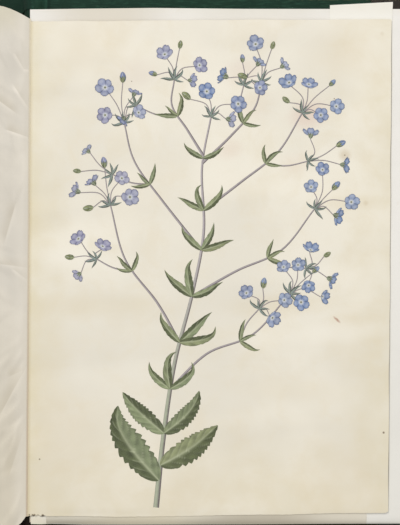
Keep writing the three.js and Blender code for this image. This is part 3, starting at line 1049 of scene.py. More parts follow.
class ALBUM_OT_leaves(bpy.types.Operator):
    """Fill each bundle with loose leaves and the smaller plates that lie between them"""

    bl_idname = "album.leaves"
    bl_label = "Leaves"

    SHEETS = 8  # in each bundle, leaves and plates in turn
    GAP = 0.03 * MM

    def execute(self, context):
        paper = paper_finish("Leaf paper", colors().leaf, srgb(192, 168, 124), 0.3)
        draw = np.random.default_rng(11)
        for half, side in HALVES.items():
            for i in range(BUNDLES):
                node = f"{half}_leaves_{i + 1}"
                solid = Solids()
                low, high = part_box(node)
                pitch = (high.z - low.z) / self.SHEETS
                for k in range(self.SHEETS):
                    z = low.z + (k + 1) * pitch - self.GAP / 3
                    seed = 1000 * (side + 2) + 20 * i + k
                    top = self.sheet(node, side, z, k % 2 == 1, seed, draw)
                    solid.add_sheet(top, pitch - self.GAP)
                piece = solid.build(f"sheets_{half}_{i + 1}", paper)
                settle(piece, half, "leaf_paper", node)
        return {"FINISHED"}

    def sheet(self, node, side, z, is_plate, seed, draw):
        """A grid of points for one leaf, or for the smaller plate between two leaves."""
        heights, starts = inner_edge(node)
        start = float(np.interp(z, heights, starts))
        low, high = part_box(node)
        far = start + max(high.x, -low.x) - float(starts.max())
        reach = high.y
        if is_plate:
            left, right = start + 9 * MM, far - draw.uniform(15, 19) * MM
            tail, head = -reach + draw.uniform(6, 9) * MM, reach - draw.uniform(7, 11) * MM
            share_x, share_y = np.linspace(0, 1, 8), np.linspace(0, 1, 14)
        else:
            left = start + draw.uniform(0, 0.25) * MM
            right = far - abs(draw.normal(0, 0.55)) * MM
            tail = -reach + abs(draw.normal(0, 0.5)) * MM
            head = reach - abs(draw.normal(0, 0.5)) * MM
            share_x = np.array([0, .02, .045, .08, .12, .3, .6, .8, .88, .94, .965, .985, 1])
            inner = np.linspace(0.04, 0.96, 25)
            share_y = np.concatenate([[0, .003, .006, .01, .014, .02], inner, [.98, .992, 1]])
        xs, rise = np.meshgrid(left + (right - left) * share_x, share_y)
        if side < 0:
            head = np.minimum(head, np.interp(xs, *thin_leaf_edge(1)) - 1 * MM)
            tail = np.maximum(tail, np.interp(xs, *thin_leaf_edge(-1)) + 1 * MM)
        else:
            first, last = corners_of("mount_leaf")[:2]
            under = first[1] + (last[1] - first[1]) * xs / last[0] + wander(TAIL_WANDER, xs)
            tail = np.maximum(tail, under + 0.3 * MM)
        ys = tail + (head - tail) * rise
        edge = smooth(reach - 12 * MM, reach - 3 * MM, np.abs(ys))
        edge = np.maximum(edge, smooth(far - 22 * MM, far - 8 * MM, xs))
        wave = 0 if is_plate else sizes().leaf_wave * edge * waves(xs, ys, seed, 70 * MM)
        return grid(side * xs, ys, z + wave - tail_droop(xs, ys, z))


# ---- The sheets under the plate ----

# How far edges stray up the page at each distance from the fold, in mm: the white leaf's head
# and tail edges and the plate's tail edge.
HEAD_WANDER = [(0, 0), (48, 0.7), (112, 1.35), (195, 0.5), (350, 0.25)]
TAIL_WANDER = [
    (0, -0.7), (48, -2.3), (90, -2.4), (195, -1.9), (241, -1.5), (278, -1.1), (350, -0.8)]
PLATE_WANDER = [
    (-0.5, -1.4), (2.5, -0.6), (20, -1.2), (48, -1.4), (85, -2.3), (140, -2), (195, -1.1),
    (241, -1.1), (278, 0)]
MOUNT_STAINS_AND_SHADE = [
    # Darker, warmer tones over the head strip of the leaf
    (70, 233, 77, 0.68, srgb(218, 209, 190)),
    (203, 231, 100, 0.45, srgb(228, 222, 207)),
    # Painted shade towards the tail at the right, where less light falls
    (350, -236, 330, 0.4, srgb(224, 222, 211)),
    # A warmer tone at the tail corner by the fold
    (8, -238, 22, 0.6, srgb(226, 217, 188)),
    # A grey band along the tail edge at the right
    (325, -236.3, 46, 0.8, srgb(202, 200, 188), 0, 12),
    # Painted shadow under the nicks in the plate's tail edge
    (2.6, -229.5, 1.6, 0.75, srgb(84, 72, 56)),
    (6.2, -229.5, 2, 0.9, srgb(84, 72, 56)),
    (14.8, -230, 3.4, 0.85, srgb(84, 72, 56), 0, 2),
]
WANDER_FROM, WANDER_FULL = 100 * MM, 238 * MM  # a sheet's points stray with its edge from here
MOUNT_FOLD_SHIFT = (3.3 * MM, -0.7 * MM)  # X of the white leaf's fold edge at its tail and head
SLIP_CURL = 0.5 * MM
SLIP_THICK = 0.25 * MM


def wander(table, x):
    """How far an edge strays up the page at each distance from the fold."""
    return np.interp(x, *np.transpose(table) * MM)


def quad_grid(corners, columns, rows):
    """X and Y of places over a four-sided sheet; columns and rows are shares from 0 to 1."""
    s, t = np.meshgrid(columns, rows)
    tail_left, tail_right, head_right, head_left = corners[:4, :, None, None]
    tail = tail_left * (1 - s) + tail_right * s
    head = head_left * (1 - s) + head_right * s
    return tail * (1 - t) + head * t


class ALBUM_OT_mount(bpy.types.Operator):
    """Lay the white leaf, the toned skin and the loose slip that show round the plate"""

    bl_idname = "album.mount"
    bl_label = "Mount and slip"

    def execute(self, context):
        plate_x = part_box("plate")[1].x / MM
        # Painted shadow of the plate's right edge on the white leaf, in four long blots
        edge_shadow_line = [
            (plate_x + 0.1, y, reach, 0.7, srgb(170, 162, 144), math.pi / 2, 1.07 * reach)
            for y, reach in ((160, 130), (35, 130), (-85, 120), (-183, 50))]
        white = paper_finish(
            "Mount paper", colors().mount, srgb(214, 200, 172), 0.12, 0.25,
            [*MOUNT_STAINS_AND_SHADE, *edge_shadow_line])
        ends = np.array([0, .002, .004, .007, .010, .014, .019, .026, .036])
        rows = np.concatenate([ends, np.linspace(0.05, 0.985, 40), [0.992, 1]])
        columns = np.concatenate([np.linspace(0, 0.94, 36), [.955, .97, .985, 1]])
        self.lay("mount_leaf", "white_leaf", white, "mount_paper", columns, rows, 0.05 * MM, 31)
        self.lay("backing_sheet", "toned_skin", toned_backing_finish(), "parchment",
                 np.linspace(0, 1, 50), rows, 0.03 * MM, 32)
        self.slip(paper_finish("Slip paper", colors().slip, srgb(222, 208, 180), 0.12, 0.25))
        return {"FINISHED"}

    def lay(self, node, name, material, slot, columns, rows, wave, seed):
        """A skin or leaf on its CAD outline, whose head and tail edges wander a little."""
        low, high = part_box(node)
        corners = corners_of(node)
        if node == "mount_leaf":
            corners[[0, 3], 0] += MOUNT_FOLD_SHIFT
        xs, ys = quad_grid(corners, columns, rows)
        head = wander(HEAD_WANDER, xs) * smooth(WANDER_FROM, WANDER_FULL, ys)
        tail = wander(TAIL_WANDER, xs) * smooth(-WANDER_FROM, -WANDER_FULL, ys)
        ys = ys + head + tail
        zs = high.z - wave + wave * waves(xs, ys, seed, 90 * MM) - tail_droop(xs, ys, high.z)
        sheet_piece(
            name, grid(xs, ys, zs), high.z - low.z - wave, material, "back", slot, node)

    def slip(self, material):
        """The slip's head end stands clear of the leaf and curls up a little."""
        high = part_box("head_slip")[1]
        corners = corners_of("head_slip")
        corners[:2, 0] -= (7 * MM, 12 * MM)  # its tail end stays hidden under the plate
        rows = np.concatenate([np.linspace(0, 0.85, 18), np.linspace(0.87, 1, 14)])
        xs, ys = quad_grid(corners, np.linspace(0, 1, 20), rows)
        zs = high.z + SLIP_CURL * smooth(high.y - 9 * MM, high.y, ys)
        sheet_piece(
            "slip", grid(xs, ys, zs), SLIP_THICK, material, "back", "mount_paper", "head_slip")


# ---- The plate ----

PLATE_SINK = 0.12 * MM  # its hollows lie this far under the CAD plate's face
FOLD_DIP = 0.22 * MM
TAIL_DIP = 0.4 * MM


def plate_height(x, y):
    """Height of the plate's upper face: slow cockles, and dips at the fold and the tail."""
    low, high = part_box("plate")
    cockle = 0.5 + 0.5 * np.tanh(waves(x, y, 5, 120 * MM, 9))
    stray = 1.4 * np.sin(x / (80 * MM)) + 1.1 * np.sin(y / (37 * MM))
    ripple = 0.5 + 0.5 * np.sin((y + 0.12 * x) / (13 * MM) + stray)
    free = smooth(low.x, low.x + 40 * MM, x)
    rise = sizes().plate_cockle * (0.65 * cockle + 0.6 * ripple) * (0.25 + 0.75 * free)
    dip = FOLD_DIP * smooth(low.x + 5 * MM, low.x, x)
    tail = free * smooth(low.y + 7 * MM, low.y, y)
    return high.z - PLATE_SINK + rise * (1 - 0.75 * tail) - dip - TAIL_DIP * tail


def plate_grid():
    """Points over the plate, from its CAD outline: close together at the nicked tail edge."""
    points = outline_of("plate")
    middle = points.mean(0)
    tail = points[points[:, 1] < middle[1]]
    head = points[points[:, 1] > middle[1]]
    tail = tail[np.argsort(tail[:, 0])]
    head = head[np.argsort(head[:, 0])]
    left, right = points[:, 0].min(), points[:, 0].max()
    near = np.linspace(left - 0.6 * MM, left + 20 * MM, 34)
    xs = np.concatenate([near, np.linspace(near[-1], right - 2.4 * MM, 92)[1:],
                         np.linspace(right - 2 * MM, right - 0.02 * MM, 6)])
    tail_y = np.interp(xs, tail[:, 0], tail[:, 1])
    head_y = np.interp(xs, head[:, 0], head[:, 1])
    tail_y = tail_y + 0.16 * MM * waves(xs, 0 * xs, 21, 6 * MM) * (xs > left + 19 * MM)
    tail_y = tail_y + wander(PLATE_WANDER, xs)
    head_y = head_y + 0.3 * MM * waves(xs, 0 * xs, 22, 40 * MM)
    rows = np.concatenate([np.linspace(0, 0.02, 6), np.linspace(0.028, 0.985, 128), [0.993, 1]])
    share = rows[:, None]
    ys = tail_y[None] * (1 - share) + head_y[None] * share
    grid_x = np.broadcast_to(xs, ys.shape)
    fade = smooth(right - 14 * MM, right, grid_x)
    grid_x = grid_x + 0.35 * MM * fade * (waves(0 * ys, ys, 23, 50 * MM) - 1)
    return grid_x, ys


class ALBUM_OT_plate(bpy.types.Operator):
    """Make the parchment plate and the linen guard that it turns on"""

    bl_idname = "album.plate"
    bl_label = "Plate"

    def execute(self, context):
        xs, ys = plate_grid()
        sheet_piece(
            "parchment_plate", grid(xs, ys, plate_height(xs, ys)), sizes().plate_thickness,
            parchment_finish(), "plate", "parchment", "plate")
        self.guard()
        return {"FINISHED"}

    def guard(self):
        """One strip of linen: a flange under the plate, a fold, a flange on the leaf."""
        lower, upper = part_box("guard_lower"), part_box("guard_upper")
        thick = lower[1].z - lower[0].z - 0.02 * MM
        middle = (lower[1].z + upper[0].z) / 2
        radius = (upper[1].z + upper[0].z) / 2 - middle
        centre = lower[0].x - 0.4 * MM + radius + thick / 2
        turn = np.linspace(-math.pi / 2, -3 * math.pi / 2, 41)
        path = [(lower[1].x, middle - radius)]
        path += [(centre + radius * math.cos(a), middle + radius * math.sin(a)) for a in turn]
        path.append((upper[1].x, middle + radius))
        path = np.array(path)
        half = directions(path)[1] * thick / 2
        up = np.linspace(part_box("plate")[0].y, lower[1].y + 0.8 * MM, 80)
        sides = []
        for face in (path - half, path + half):
            xs, ys = np.meshgrid(face[:, 0], up)
            sides.append(grid(xs, ys, face[:, 1]))
        solid = Solids()
        solid.add_between(*sides)
        piece = solid.build("linen_guard", linen_finish())
        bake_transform(piece)
        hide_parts("guard_lower", "guard_upper")


# ---- The thin leaf on the front half ----

THIN_THICK = 0.16 * MM
CREASE_DEEPEST, CREASE_SHIFT = 1.6 * MM, 0.1 * MM
STOP_SLOPE = 0.577  # the turned plate rises this steeply from the fold, and the leaf keeps below
CROWN_ABOVE, CROWN_EASE = 0.85 * MM, 0.15 * MM  # its highest creases, against the CAD leaf's top
FLOOR_ABOVE = 0.42 * MM  # its lowest ones, against the CAD leaf's underside
# Where the leaf turns down over the fold: distance from it and height, in mm.
OVER_FOLD = [(-0.75, 26.25), (-0.4, 26.4), (0, 26.75), (0.35, 27.15)]


def crease_field(x, y, seed, count, reach_x, reach_y, rise):
    """Sharp finite creases, as in thin paper that was crumpled and smoothed out."""
    draw = np.random.default_rng(seed)
    total = np.zeros_like(x)
    for _ in range(count):
        centre_x = reach_x * draw.uniform(0, 1)
        centre_y = draw.uniform(-reach_y, reach_y)
        way = draw.normal(0.9, 0.3) * (1 if centre_y > draw.normal(0, 60 * MM) else -1)
        long = draw.uniform(14, 46) * MM
        steep, gentle = draw.uniform(1.5, 4) * MM, draw.uniform(6, 14) * MM
        high = rise * draw.uniform(0.35, 1) * draw.choice([-0.8, 1], p=[0.45, 0.55])
        along = (x - centre_x) * math.cos(way) + (y - centre_y) * math.sin(way)
        across = -(x - centre_x) * math.sin(way) + (y - centre_y) * math.cos(way)
        across = across + 1.5 * MM * np.sin(along / (11 * MM) + centre_y * 400)
        wide = np.where(across > 0, steep, gentle)
        tent = np.clip(1 - np.abs(across) / wide, 0, 1)
        total += high * tent * smooth(1, 0.35, np.abs(along) / long)
    return total


class ALBUM_OT_thin_leaf(bpy.types.Operator):
    """Make the crumpled thin leaf that bows up beside the fold"""

    bl_idname = "album.thin_leaf"
    bl_label = "Thin leaf"

    def execute(self, context):
        low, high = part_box("interleaf")
        us = self.distances()
        rows = np.linspace(0, 1, 200)[:, None]
        tail, head = (np.interp(us, *thin_leaf_edge(end)) for end in (-1, 1))
        ys = tail * (1 - rows) + head * rows
        us = np.broadcast_to(us, ys.shape)
        lying = smooth(60 * MM, 180 * MM, us)
        rise = sizes().crease_rise
        creases = crease_field(us, ys, 8, 34, 34 * MM, high.y, rise)
        creases += crease_field(us, ys, 9, 90, 300 * MM, high.y, rise) * (1 - 0.6 * lying)
        gentle = 0.35 * MM * waves(us, ys, 12, 46 * MM) * (1 - 0.7 * lying)
        lift = smooth(0, 7 * MM, us)
        relief = np.maximum(creases + gentle, -CREASE_DEEPEST) + CREASE_SHIFT
        zs = np.interp(us, *self.bow()) + relief * lift
        clear = FOLD_AXIS_Z - 0.3 * MM + STOP_SLOPE * np.maximum(us, 0)
        crown = np.minimum(clear, high.z + CROWN_ABOVE)
        zs = crown - CROWN_EASE * np.logaddexp(0, (crown - zs) / CROWN_EASE)
        zs = np.where(us > 2 * MM, np.maximum(zs, low.z + FLOOR_ABOVE), zs)
        piece = sheet_piece(
            "thin_leaf", grid(-us, ys, zs), THIN_THICK, thin_paper_finish(), "front",
            "thin_paper", "interleaf", crisp=60)
        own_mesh(piece)
        return {"FINISHED"}

    def distances(self):
        """Distances from the fold, close together where the leaf bows up. The leaf turns down
        over the fold, onto the plate's edge."""
        turn = np.linspace(-0.75 * MM, 0.5 * MM, 7)
        near = np.linspace(0.9 * MM, 66 * MM, 62)
        far = np.linspace(near[-1], -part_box("interleaf")[0].x, 64)
        return np.concatenate([turn, near, far[1:]])

    def bow(self):
        """Distance from the fold and height of the leaf's upper face."""
        us, zs = at_each_distance(thin_leaf_points(), lambda near: near[:, 2].max())
        zs = zs - 0.7 * MM * smooth(3.5 * MM, 0.4 * MM, us)
        over_u, over_z = np.transpose(OVER_FOLD) * MM
        return np.concatenate([over_u, us]), np.concatenate([over_z, zs])


THIN_CREASES = [
    # X and Y in mm, half length, slant in degrees, and the shares of its shade and its light
    (-7.3, 155, 15, -57, 0.25, 0.75),
    (-8.7, 187, 11, -60, 0.25, 0.5),
    (-3, 180, 3, 0, 0, 0.8),
    (-10, 121, 14, -18, 0.45, 0.7),
    (-23, 148, 18, -35, 0.4, 0.3),
    (-15.7, 40, 24, 75, 0.4, 0.25),
    (-13, 0, 18, -8, 0.35, 0.2),
    (-7, -8, 10, -40, 0.25, 0.5),
    (-13, -116, 34, 62, 0.45, 0.35),
    (-9.6, -98.5, 9, 25, 0.4, 0.1),
    (-9, -172, 26, 73, 0.5, 0.2),
    (-70, 90, 40, -48, 0.4, 0.5),
    (-110, -60, 46, 40, 0.4, 0.5),
    (-48, -150, 30, 24, 0.4, 0.4),
]


def thin_paper_finish():
    """Thin leaf: warm grey, browner towards the tail of the fold, painted shade and painted
    highlights along its creases, and painted light near the fold.
    """
    base = colors().thin
    low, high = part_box("interleaf")
    finish = Finish("Thin paper", shade(base, 1.03))
    x, y = finish.axis("X"), finish.axis("Y")
    fibres = finish.noise(1.2 * MM, 6, 0.7)
    cloudy = finish.noise(38 * MM, 4, 0.55)
    folds = finish.noise(1, 2, 0.45, finish.stretched((10, 24, 10), -1.0), 0.6)
    finish.over(shade(base, 0.93), finish.step(cloudy, 0.35, 0.7))
    finish.over(srgb(208, 203, 193), finish.step(folds, 0.42, 0.54, 0.4, 0))
    finish.over(shade(base, 0.9), finish.step(fibres, 0.4, 0.7), 0.2)
    # Painted shade on one side of each crease and a painted highlight on its ridge
    for right, up, half, slant, dark_share, lit_share in THIN_CREASES:
        dark, lit = finish.crease(right * MM, up * MM, half * MM, math.radians(slant))
        finish.over(srgb(190, 180, 160), dark, dark_share)
        finish.over(srgb(240, 232, 219), lit, lit_share)
    finish.over(srgb(208, 198, 174), finish.step(y, low.y, low.y + 260 * MM, 0.55, 0))
    finish.over(srgb(212, 205, 183), finish.blot(-24 * MM, high.y, 34 * MM), 0.7)
    # Painted light near the fold, where the leaf slopes away from the light
    finish.over(srgb(236, 229, 216), finish.step(x, -16 * MM, -3 * MM, 0, 0.5))
    # Painted light over the edge that turns down into the fold, browner towards the tail
    aged = finish.blend(
        finish.step(y, low.y, high.y), srgb(196, 172, 144), srgb(234, 222, 192))
    finish.over(aged, finish.step(x, -1.1 * MM, 0.4 * MM, 0, 0.7))
    finish.relief(fibres, 0.04 * MM, 0.5)
    finish.relief(cloudy, 0.5 * MM, 0.3)
    finish.relief(folds, 0.5 * MM, 0.3)
    return finish.done(roughness=0.7, specular_ior_level=0.35)


# ---- The painting ----

# A generic spray. Places are millimetres from the plate's tail-left corner.
MAIN_STEM = [(118, 8), (124, 70), (134, 140), (150, 205), (160, 262), (158, 320), (166, 368)]
BRANCHES = [
    # share of the main stem, the branch's further points, and the way its own branch turns
    (0.30, [(164, 150), (206, 168), (240, 206)], 1),
    (0.42, [(118, 196), (88, 236), (74, 286)], 1),
    (0.54, [(190, 226), (232, 246), (262, 284)], -1),
    (0.66, [(122, 290), (96, 326), (86, 362)], 1),
    (0.76, [(194, 308), (228, 336), (250, 372)], -1),
    (0.88, [(184, 350), (206, 376), (212, 400)], 1),
    (0.90, [(144, 356), (130, 378), (132, 402)], 1),
]
STEM_WIDE = 5.4 * MM
LEAF_TIERS = [
    # share of the main stem, length and width in mm, and the leaves' angles from it
    (0.07, 84, 33, (48,)),
    (0.11, 68, 28, (-56,)),
    (0.19, 56, 20, (58, -46)),
    (0.30, 36, 9, (64, 20, -52)),
    (0.42, 38, 9, (58, -34, -72)),
    (0.54, 36, 8.5, (66, 26, -60)),
    (0.66, 32, 7.5, (60, -26, -66)),
    (0.76, 28, 6.5, (62, 24, -54)),
    (0.89, 22, 5.5, (70, -64)),
]
FILM_STEP = 0.012 * MM  # how far each film stands above the one before
FILM_SUNK = 0.02 * MM  # how far the films reach into the skin
FILM_LEVELS = 8


def smooth_path(points, steps):
    """A smooth curve through the points, as evenly spaced places."""
    points = np.asarray(points, float)
    padded = np.vstack([2 * points[0] - points[1], points, 2 * points[-1] - points[-2]])
    pieces = []
    for i in range(1, len(padded) - 2):
        a, b, c, d = padded[i - 1], padded[i], padded[i + 1], padded[i + 2]
        t = np.linspace(0, 1, 24, endpoint=False)[:, None]
        pieces.append(0.5 * (
            2 * b + (c - a) * t + (2 * a - 5 * b + 4 * c - d) * t ** 2
            + (3 * b - a - 3 * c + d) * t ** 3))
    curve = np.vstack([*pieces, points[-1:]])
    far = np.concatenate([[0], np.cumsum(np.linalg.norm(np.diff(curve, axis=0), axis=1))])
    even = np.linspace(0, far[-1], steps)
    return np.stack([np.interp(even, far, curve[:, k]) for k in (0, 1)], -1)


def turned(vector, angle):
    cosine, sine = math.cos(angle), math.sin(angle)
    return np.array([cosine * vector[0] - sine * vector[1], sine * vector[0] + cosine * vector[1]])


class Painting:
    """Lays films of paint on the plate. Each film reaches down to the skin."""

    def __init__(self, base_lift):
        self.solids = Solids()
        self.base_lift = base_lift
        self.turn = 0

    def film(self, flat, tints, level=None):
        """One film over a grid of places on the plate, by itself a little above the last."""
        if level is None:
            level = self.turn % FILM_LEVELS
            self.turn += 1
        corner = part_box("plate")[0]
        xs, ys = flat[..., 0] + corner.x, flat[..., 1] + corner.y
        skin = plate_height(xs, ys)
        top = grid(xs, ys, skin + self.base_lift + level * FILM_STEP)
        self.solids.add_between(top, grid(xs, ys, skin - FILM_SUNK), np.clip(tints, 0, 1))

    def stroke(self, path, widths, lit, dark, across=7):
        """A stem: lit on its left and shaded on its right. lit may change along it."""
        left = directions(path)[1]
        sides = np.linspace(1, -1, across)
        flat = path[:, None] + left[:, None] * sides[None, :, None] * widths[:, None, None] / 2
        side = np.broadcast_to(sides, flat.shape[:2])
        fibre = 0.09 * waves(flat[..., 0] * 8, flat[..., 1], 41, 5 * MM)
        share = smooth(0.3, -0.9, side) + 0.5 * smooth(0.7, 1.0, side) + fibre
        self.film(flat, mix(np.expand_dims(lit, -2), dark, np.clip(share, 0, 1)))

    def blade(self, root, way, long, wide, bend, look, seed, steps=34, across=15, level=None):
        """A leaf from its root, bending to one side, with a midrib, side veins and teeth."""
        s = np.linspace(0, 1, steps)
        t = np.linspace(-1, 1, across)
        curl = look["curl"] * smooth(0.66, 1, s)
        angle = math.atan2(way[1], way[0]) + bend * (s - 0.15) * s + curl
        heading = np.stack([np.cos(angle), np.sin(angle)], -1)
        rib = root + np.concatenate([[[0, 0]], np.cumsum(heading[1:] * long / (steps - 1), axis=0)])
        left = np.stack([-heading[:, 1], heading[:, 0]], -1)
        body = np.sin(math.pi * s ** look["fullness"]) ** look["point"]
        half = wide / 2 * (body * (1 - 0.25 * s) + (1 - s) ** 6 * 0.16)
        spread = np.outer(half, np.sign(t) * np.abs(t) ** 0.9 * (1 + look["uneven"] * np.sign(t)))
        S, T = np.meshgrid(s, t, indexing="ij")
        saw = (S * look["count"] + 0.35 * np.sin(9 * S + seed) + 0.5 * (T > 0)) % 1
        bite = look["teeth"] * saw ** 1.6 * smooth(0.5, 1, np.abs(T)) * smooth(0.08, 0.25, S)
        spread = spread * (1 - bite)
        sweep = np.outer(half, np.abs(t) ** 1.4) * 0.3
        flat = rib[:, None] + left[:, None] * spread[..., None] + heading[:, None] * sweep[..., None]
        folded = smooth(-0.14, 0.1, T * look["lit_side"])
        tone = mix(look["dark"], look["lit"], folded * 0.8 + 0.2 * (1 - S))
        cloud = 0.17 * waves(flat[..., 0], flat[..., 1], seed, 8 * MM)
        ridge = ((S - 0.17 * np.abs(T)) * look["veins"]) % 1
        swell = 0.5 * (0.42 - ridge) * smooth(0.05, 0.3, np.abs(T)) * smooth(1.02, 0.85, S)
        tone = tone * (1 + cloud + swell)[..., None]
        side_vein = 0.4 * smooth(0.86, 1.0, ridge) * smooth(1.0, 0.6, np.abs(T))
        midrib = 0.85 * smooth(0.15, 0.02, np.abs(T)) * (1 - 0.6 * S)
        tone = mix(tone, look["vein"], np.clip(side_vein + midrib, 0, 1))
        rim = smooth(0.82, 1.0, np.abs(T)) * smooth(0, 0.1, S)
        tone = mix(tone, look["rim"], 0.5 * rim * smooth(-1, 0.6, T * look["lit_side"]))
        self.film(flat, tone, level)


def leaf_look(draw, broad=False, bluish=0.0):
    """The palette and outline of one leaf."""
    p = paints()
    lit = np.array(p.leaf) * draw.uniform(0.86, 1.16)
    dark = np.array(p.leaf_shade) * draw.uniform(0.82, 1.2)
    warm = draw.uniform(0, 1)
    lit = mix(lit, srgb(166, 164, 116), 0.35 * warm)
    return {
        "lit": mix(lit, p.blue, bluish), "dark": mix(dark, p.outline, bluish),
        "vein": np.array(p.vein), "rim": dark * 0.5,
        "fullness": 0.84 if broad else 0.72, "point": 0.78 if broad else 0.95,
        "teeth": 0.26 if broad else 0.16, "count": 13 if broad else 5,
        "veins": 7 if broad else 4, "lit_side": 1 if draw.uniform() < 0.5 else -1,
        "uneven": draw.uniform(-0.14, 0.14), "curl": draw.uniform(-0.7, 0.7),
    }


def petal_grid(tilt, cup, angle, radius, notch, twist):
    """One petal of a cup-shaped flower seen at a tilt: its share out from the heart, its share
    across, and its places across and along the way that the flower faces."""
    S, T = np.meshgrid(np.linspace(0.06, 1, 12), np.linspace(-1, 1, 9), indexing="ij")
    half = np.minimum(0.44 * np.sin(0.9 * math.pi * S ** 1.35) ** 0.7, 0.7 * S)
    out = (S - notch * np.exp(-(T / 0.35) ** 2) * smooth(0.75, 1, S)) * (1 - 0.08 * T ** 2 * S)
    side = T * half + twist * S ** 2
    across = out * math.cos(angle) - side * math.sin(angle)
    deep = out * math.sin(angle) + side * math.cos(angle)
    high = cup * S ** 1.6 * (1 + 0.25 * T ** 2)
    along = deep * math.cos(tilt) + high * math.sin(tilt)
    return S, T, across * radius, along * radius


def petal_tone(S, T, hue, outside):
    """Pale at the throat, with fine darker veins, a lit middle and a thin dark edge."""
    p = paints()
    tone = mix(hue, p.pale, 0.9 * smooth(0.45, 0.14, S) + 0.3 * outside * (1 - S))
    veins = smooth(0.1, 0.95, np.cos(T * 10.5)) * smooth(0.15, 0.5, S) * smooth(1.02, 0.8, S)
    tone = mix(tone, p.outline, 0.3 * veins)
    tone = mix(tone, p.pale, 0.38 * (1 - np.abs(T)) * smooth(0.35, 0.7, S) * smooth(1, 0.8, S))
    edge = np.maximum(smooth(0.66, 1, np.abs(T)), smooth(0.86, 1, S)) * smooth(0.1, 0.35, S)
    return mix(tone, p.outline, 0.75 * edge)


def paint_sepals(painting, root, way, long, wide, spread, bluish, level, draw):
    """Three small leaves round a flower's back or a bud, the middle one on top."""
    for turn in (-spread, spread, 0):
        sepal = leaf_look(draw, bluish=bluish)
        sepal.update(teeth=0, curl=0)
        painting.blade(
            root, turned(way, turn), long, wide, 0, sepal, 4, 10, 7, level + (turn == 0))


def paint_flower(painting, base, heading, radius, tilt, hue, level, draw):
    """A five-petalled cup: far petals, near petals over them, then the heart or the calyx."""
    p = paints()
    left = np.array([-heading[1], heading[0]])
    centre = base + heading * radius * 0.4 * math.sin(tilt)

    def placed(across, along):
        return centre + left * across[..., None] + heading * along[..., None]

    cup = draw.uniform(0.25, 0.5)
    spin = draw.uniform(0, math.tau)
    for k in range(5):
        angle = spin + k * math.tau / 5
        near = math.sin(angle) < 0
        size = radius * draw.uniform(0.9, 1.06)
        S, T, across, along = petal_grid(
            tilt, cup, angle, size, draw.uniform(0.03, 0.14), draw.uniform(-0.06, 0.06))
        tone = petal_tone(S, T, hue * draw.uniform(0.86, 1.12), near and tilt > 1)
        painting.film(placed(across, along), tone, level + near)
    if tilt < 1.05:
        R, A = np.meshgrid(np.linspace(0.02, 1, 7), np.linspace(math.tau, 0, 26), indexing="ij")
        dots = smooth(0.45, 0.85, np.cos(5 * A)) * smooth(0.3, 0.5, R) * smooth(0.95, 0.8, R)
        tone = mix(mix(p.leaf_shade, p.pale, smooth(0.1, 1, R)), p.heart, dots)
        R = R * 0.19 * radius
        lift = 0.06 * radius * math.sin(tilt)
        flat = placed(R * np.cos(A), R * np.sin(A) * math.cos(tilt) + lift)
        painting.film(flat, tone, level + 3)
    else:
        paint_sepals(
            painting, base, heading, radius * 0.72, radius * 0.26, 0.42, 0.15, level + 2, draw)


def paint_bud(painting, root, way, long, hue, level, draw):
    """A closed bud or a green capsule in its cup of sepals."""
    look = leaf_look(draw)
    look.update(lit=hue, dark=hue * 0.72, vein=np.array(paints().pale),
                rim=np.array(paints().outline), fullness=0.9, point=0.6, teeth=0, curl=0)
    painting.blade(root, way, long, long * 0.62, 0, look, 3, 12, 9, level)
    paint_sepals(painting, root, way, long * 0.66, long * 0.24, 0.4, 0.0, level + 1, draw)


def at_share(path, share):
    """The place and heading at a share of a path."""
    along, _ = directions(path)
    i = int(round(share * (len(path) - 1)))
    return path[i], along[i]


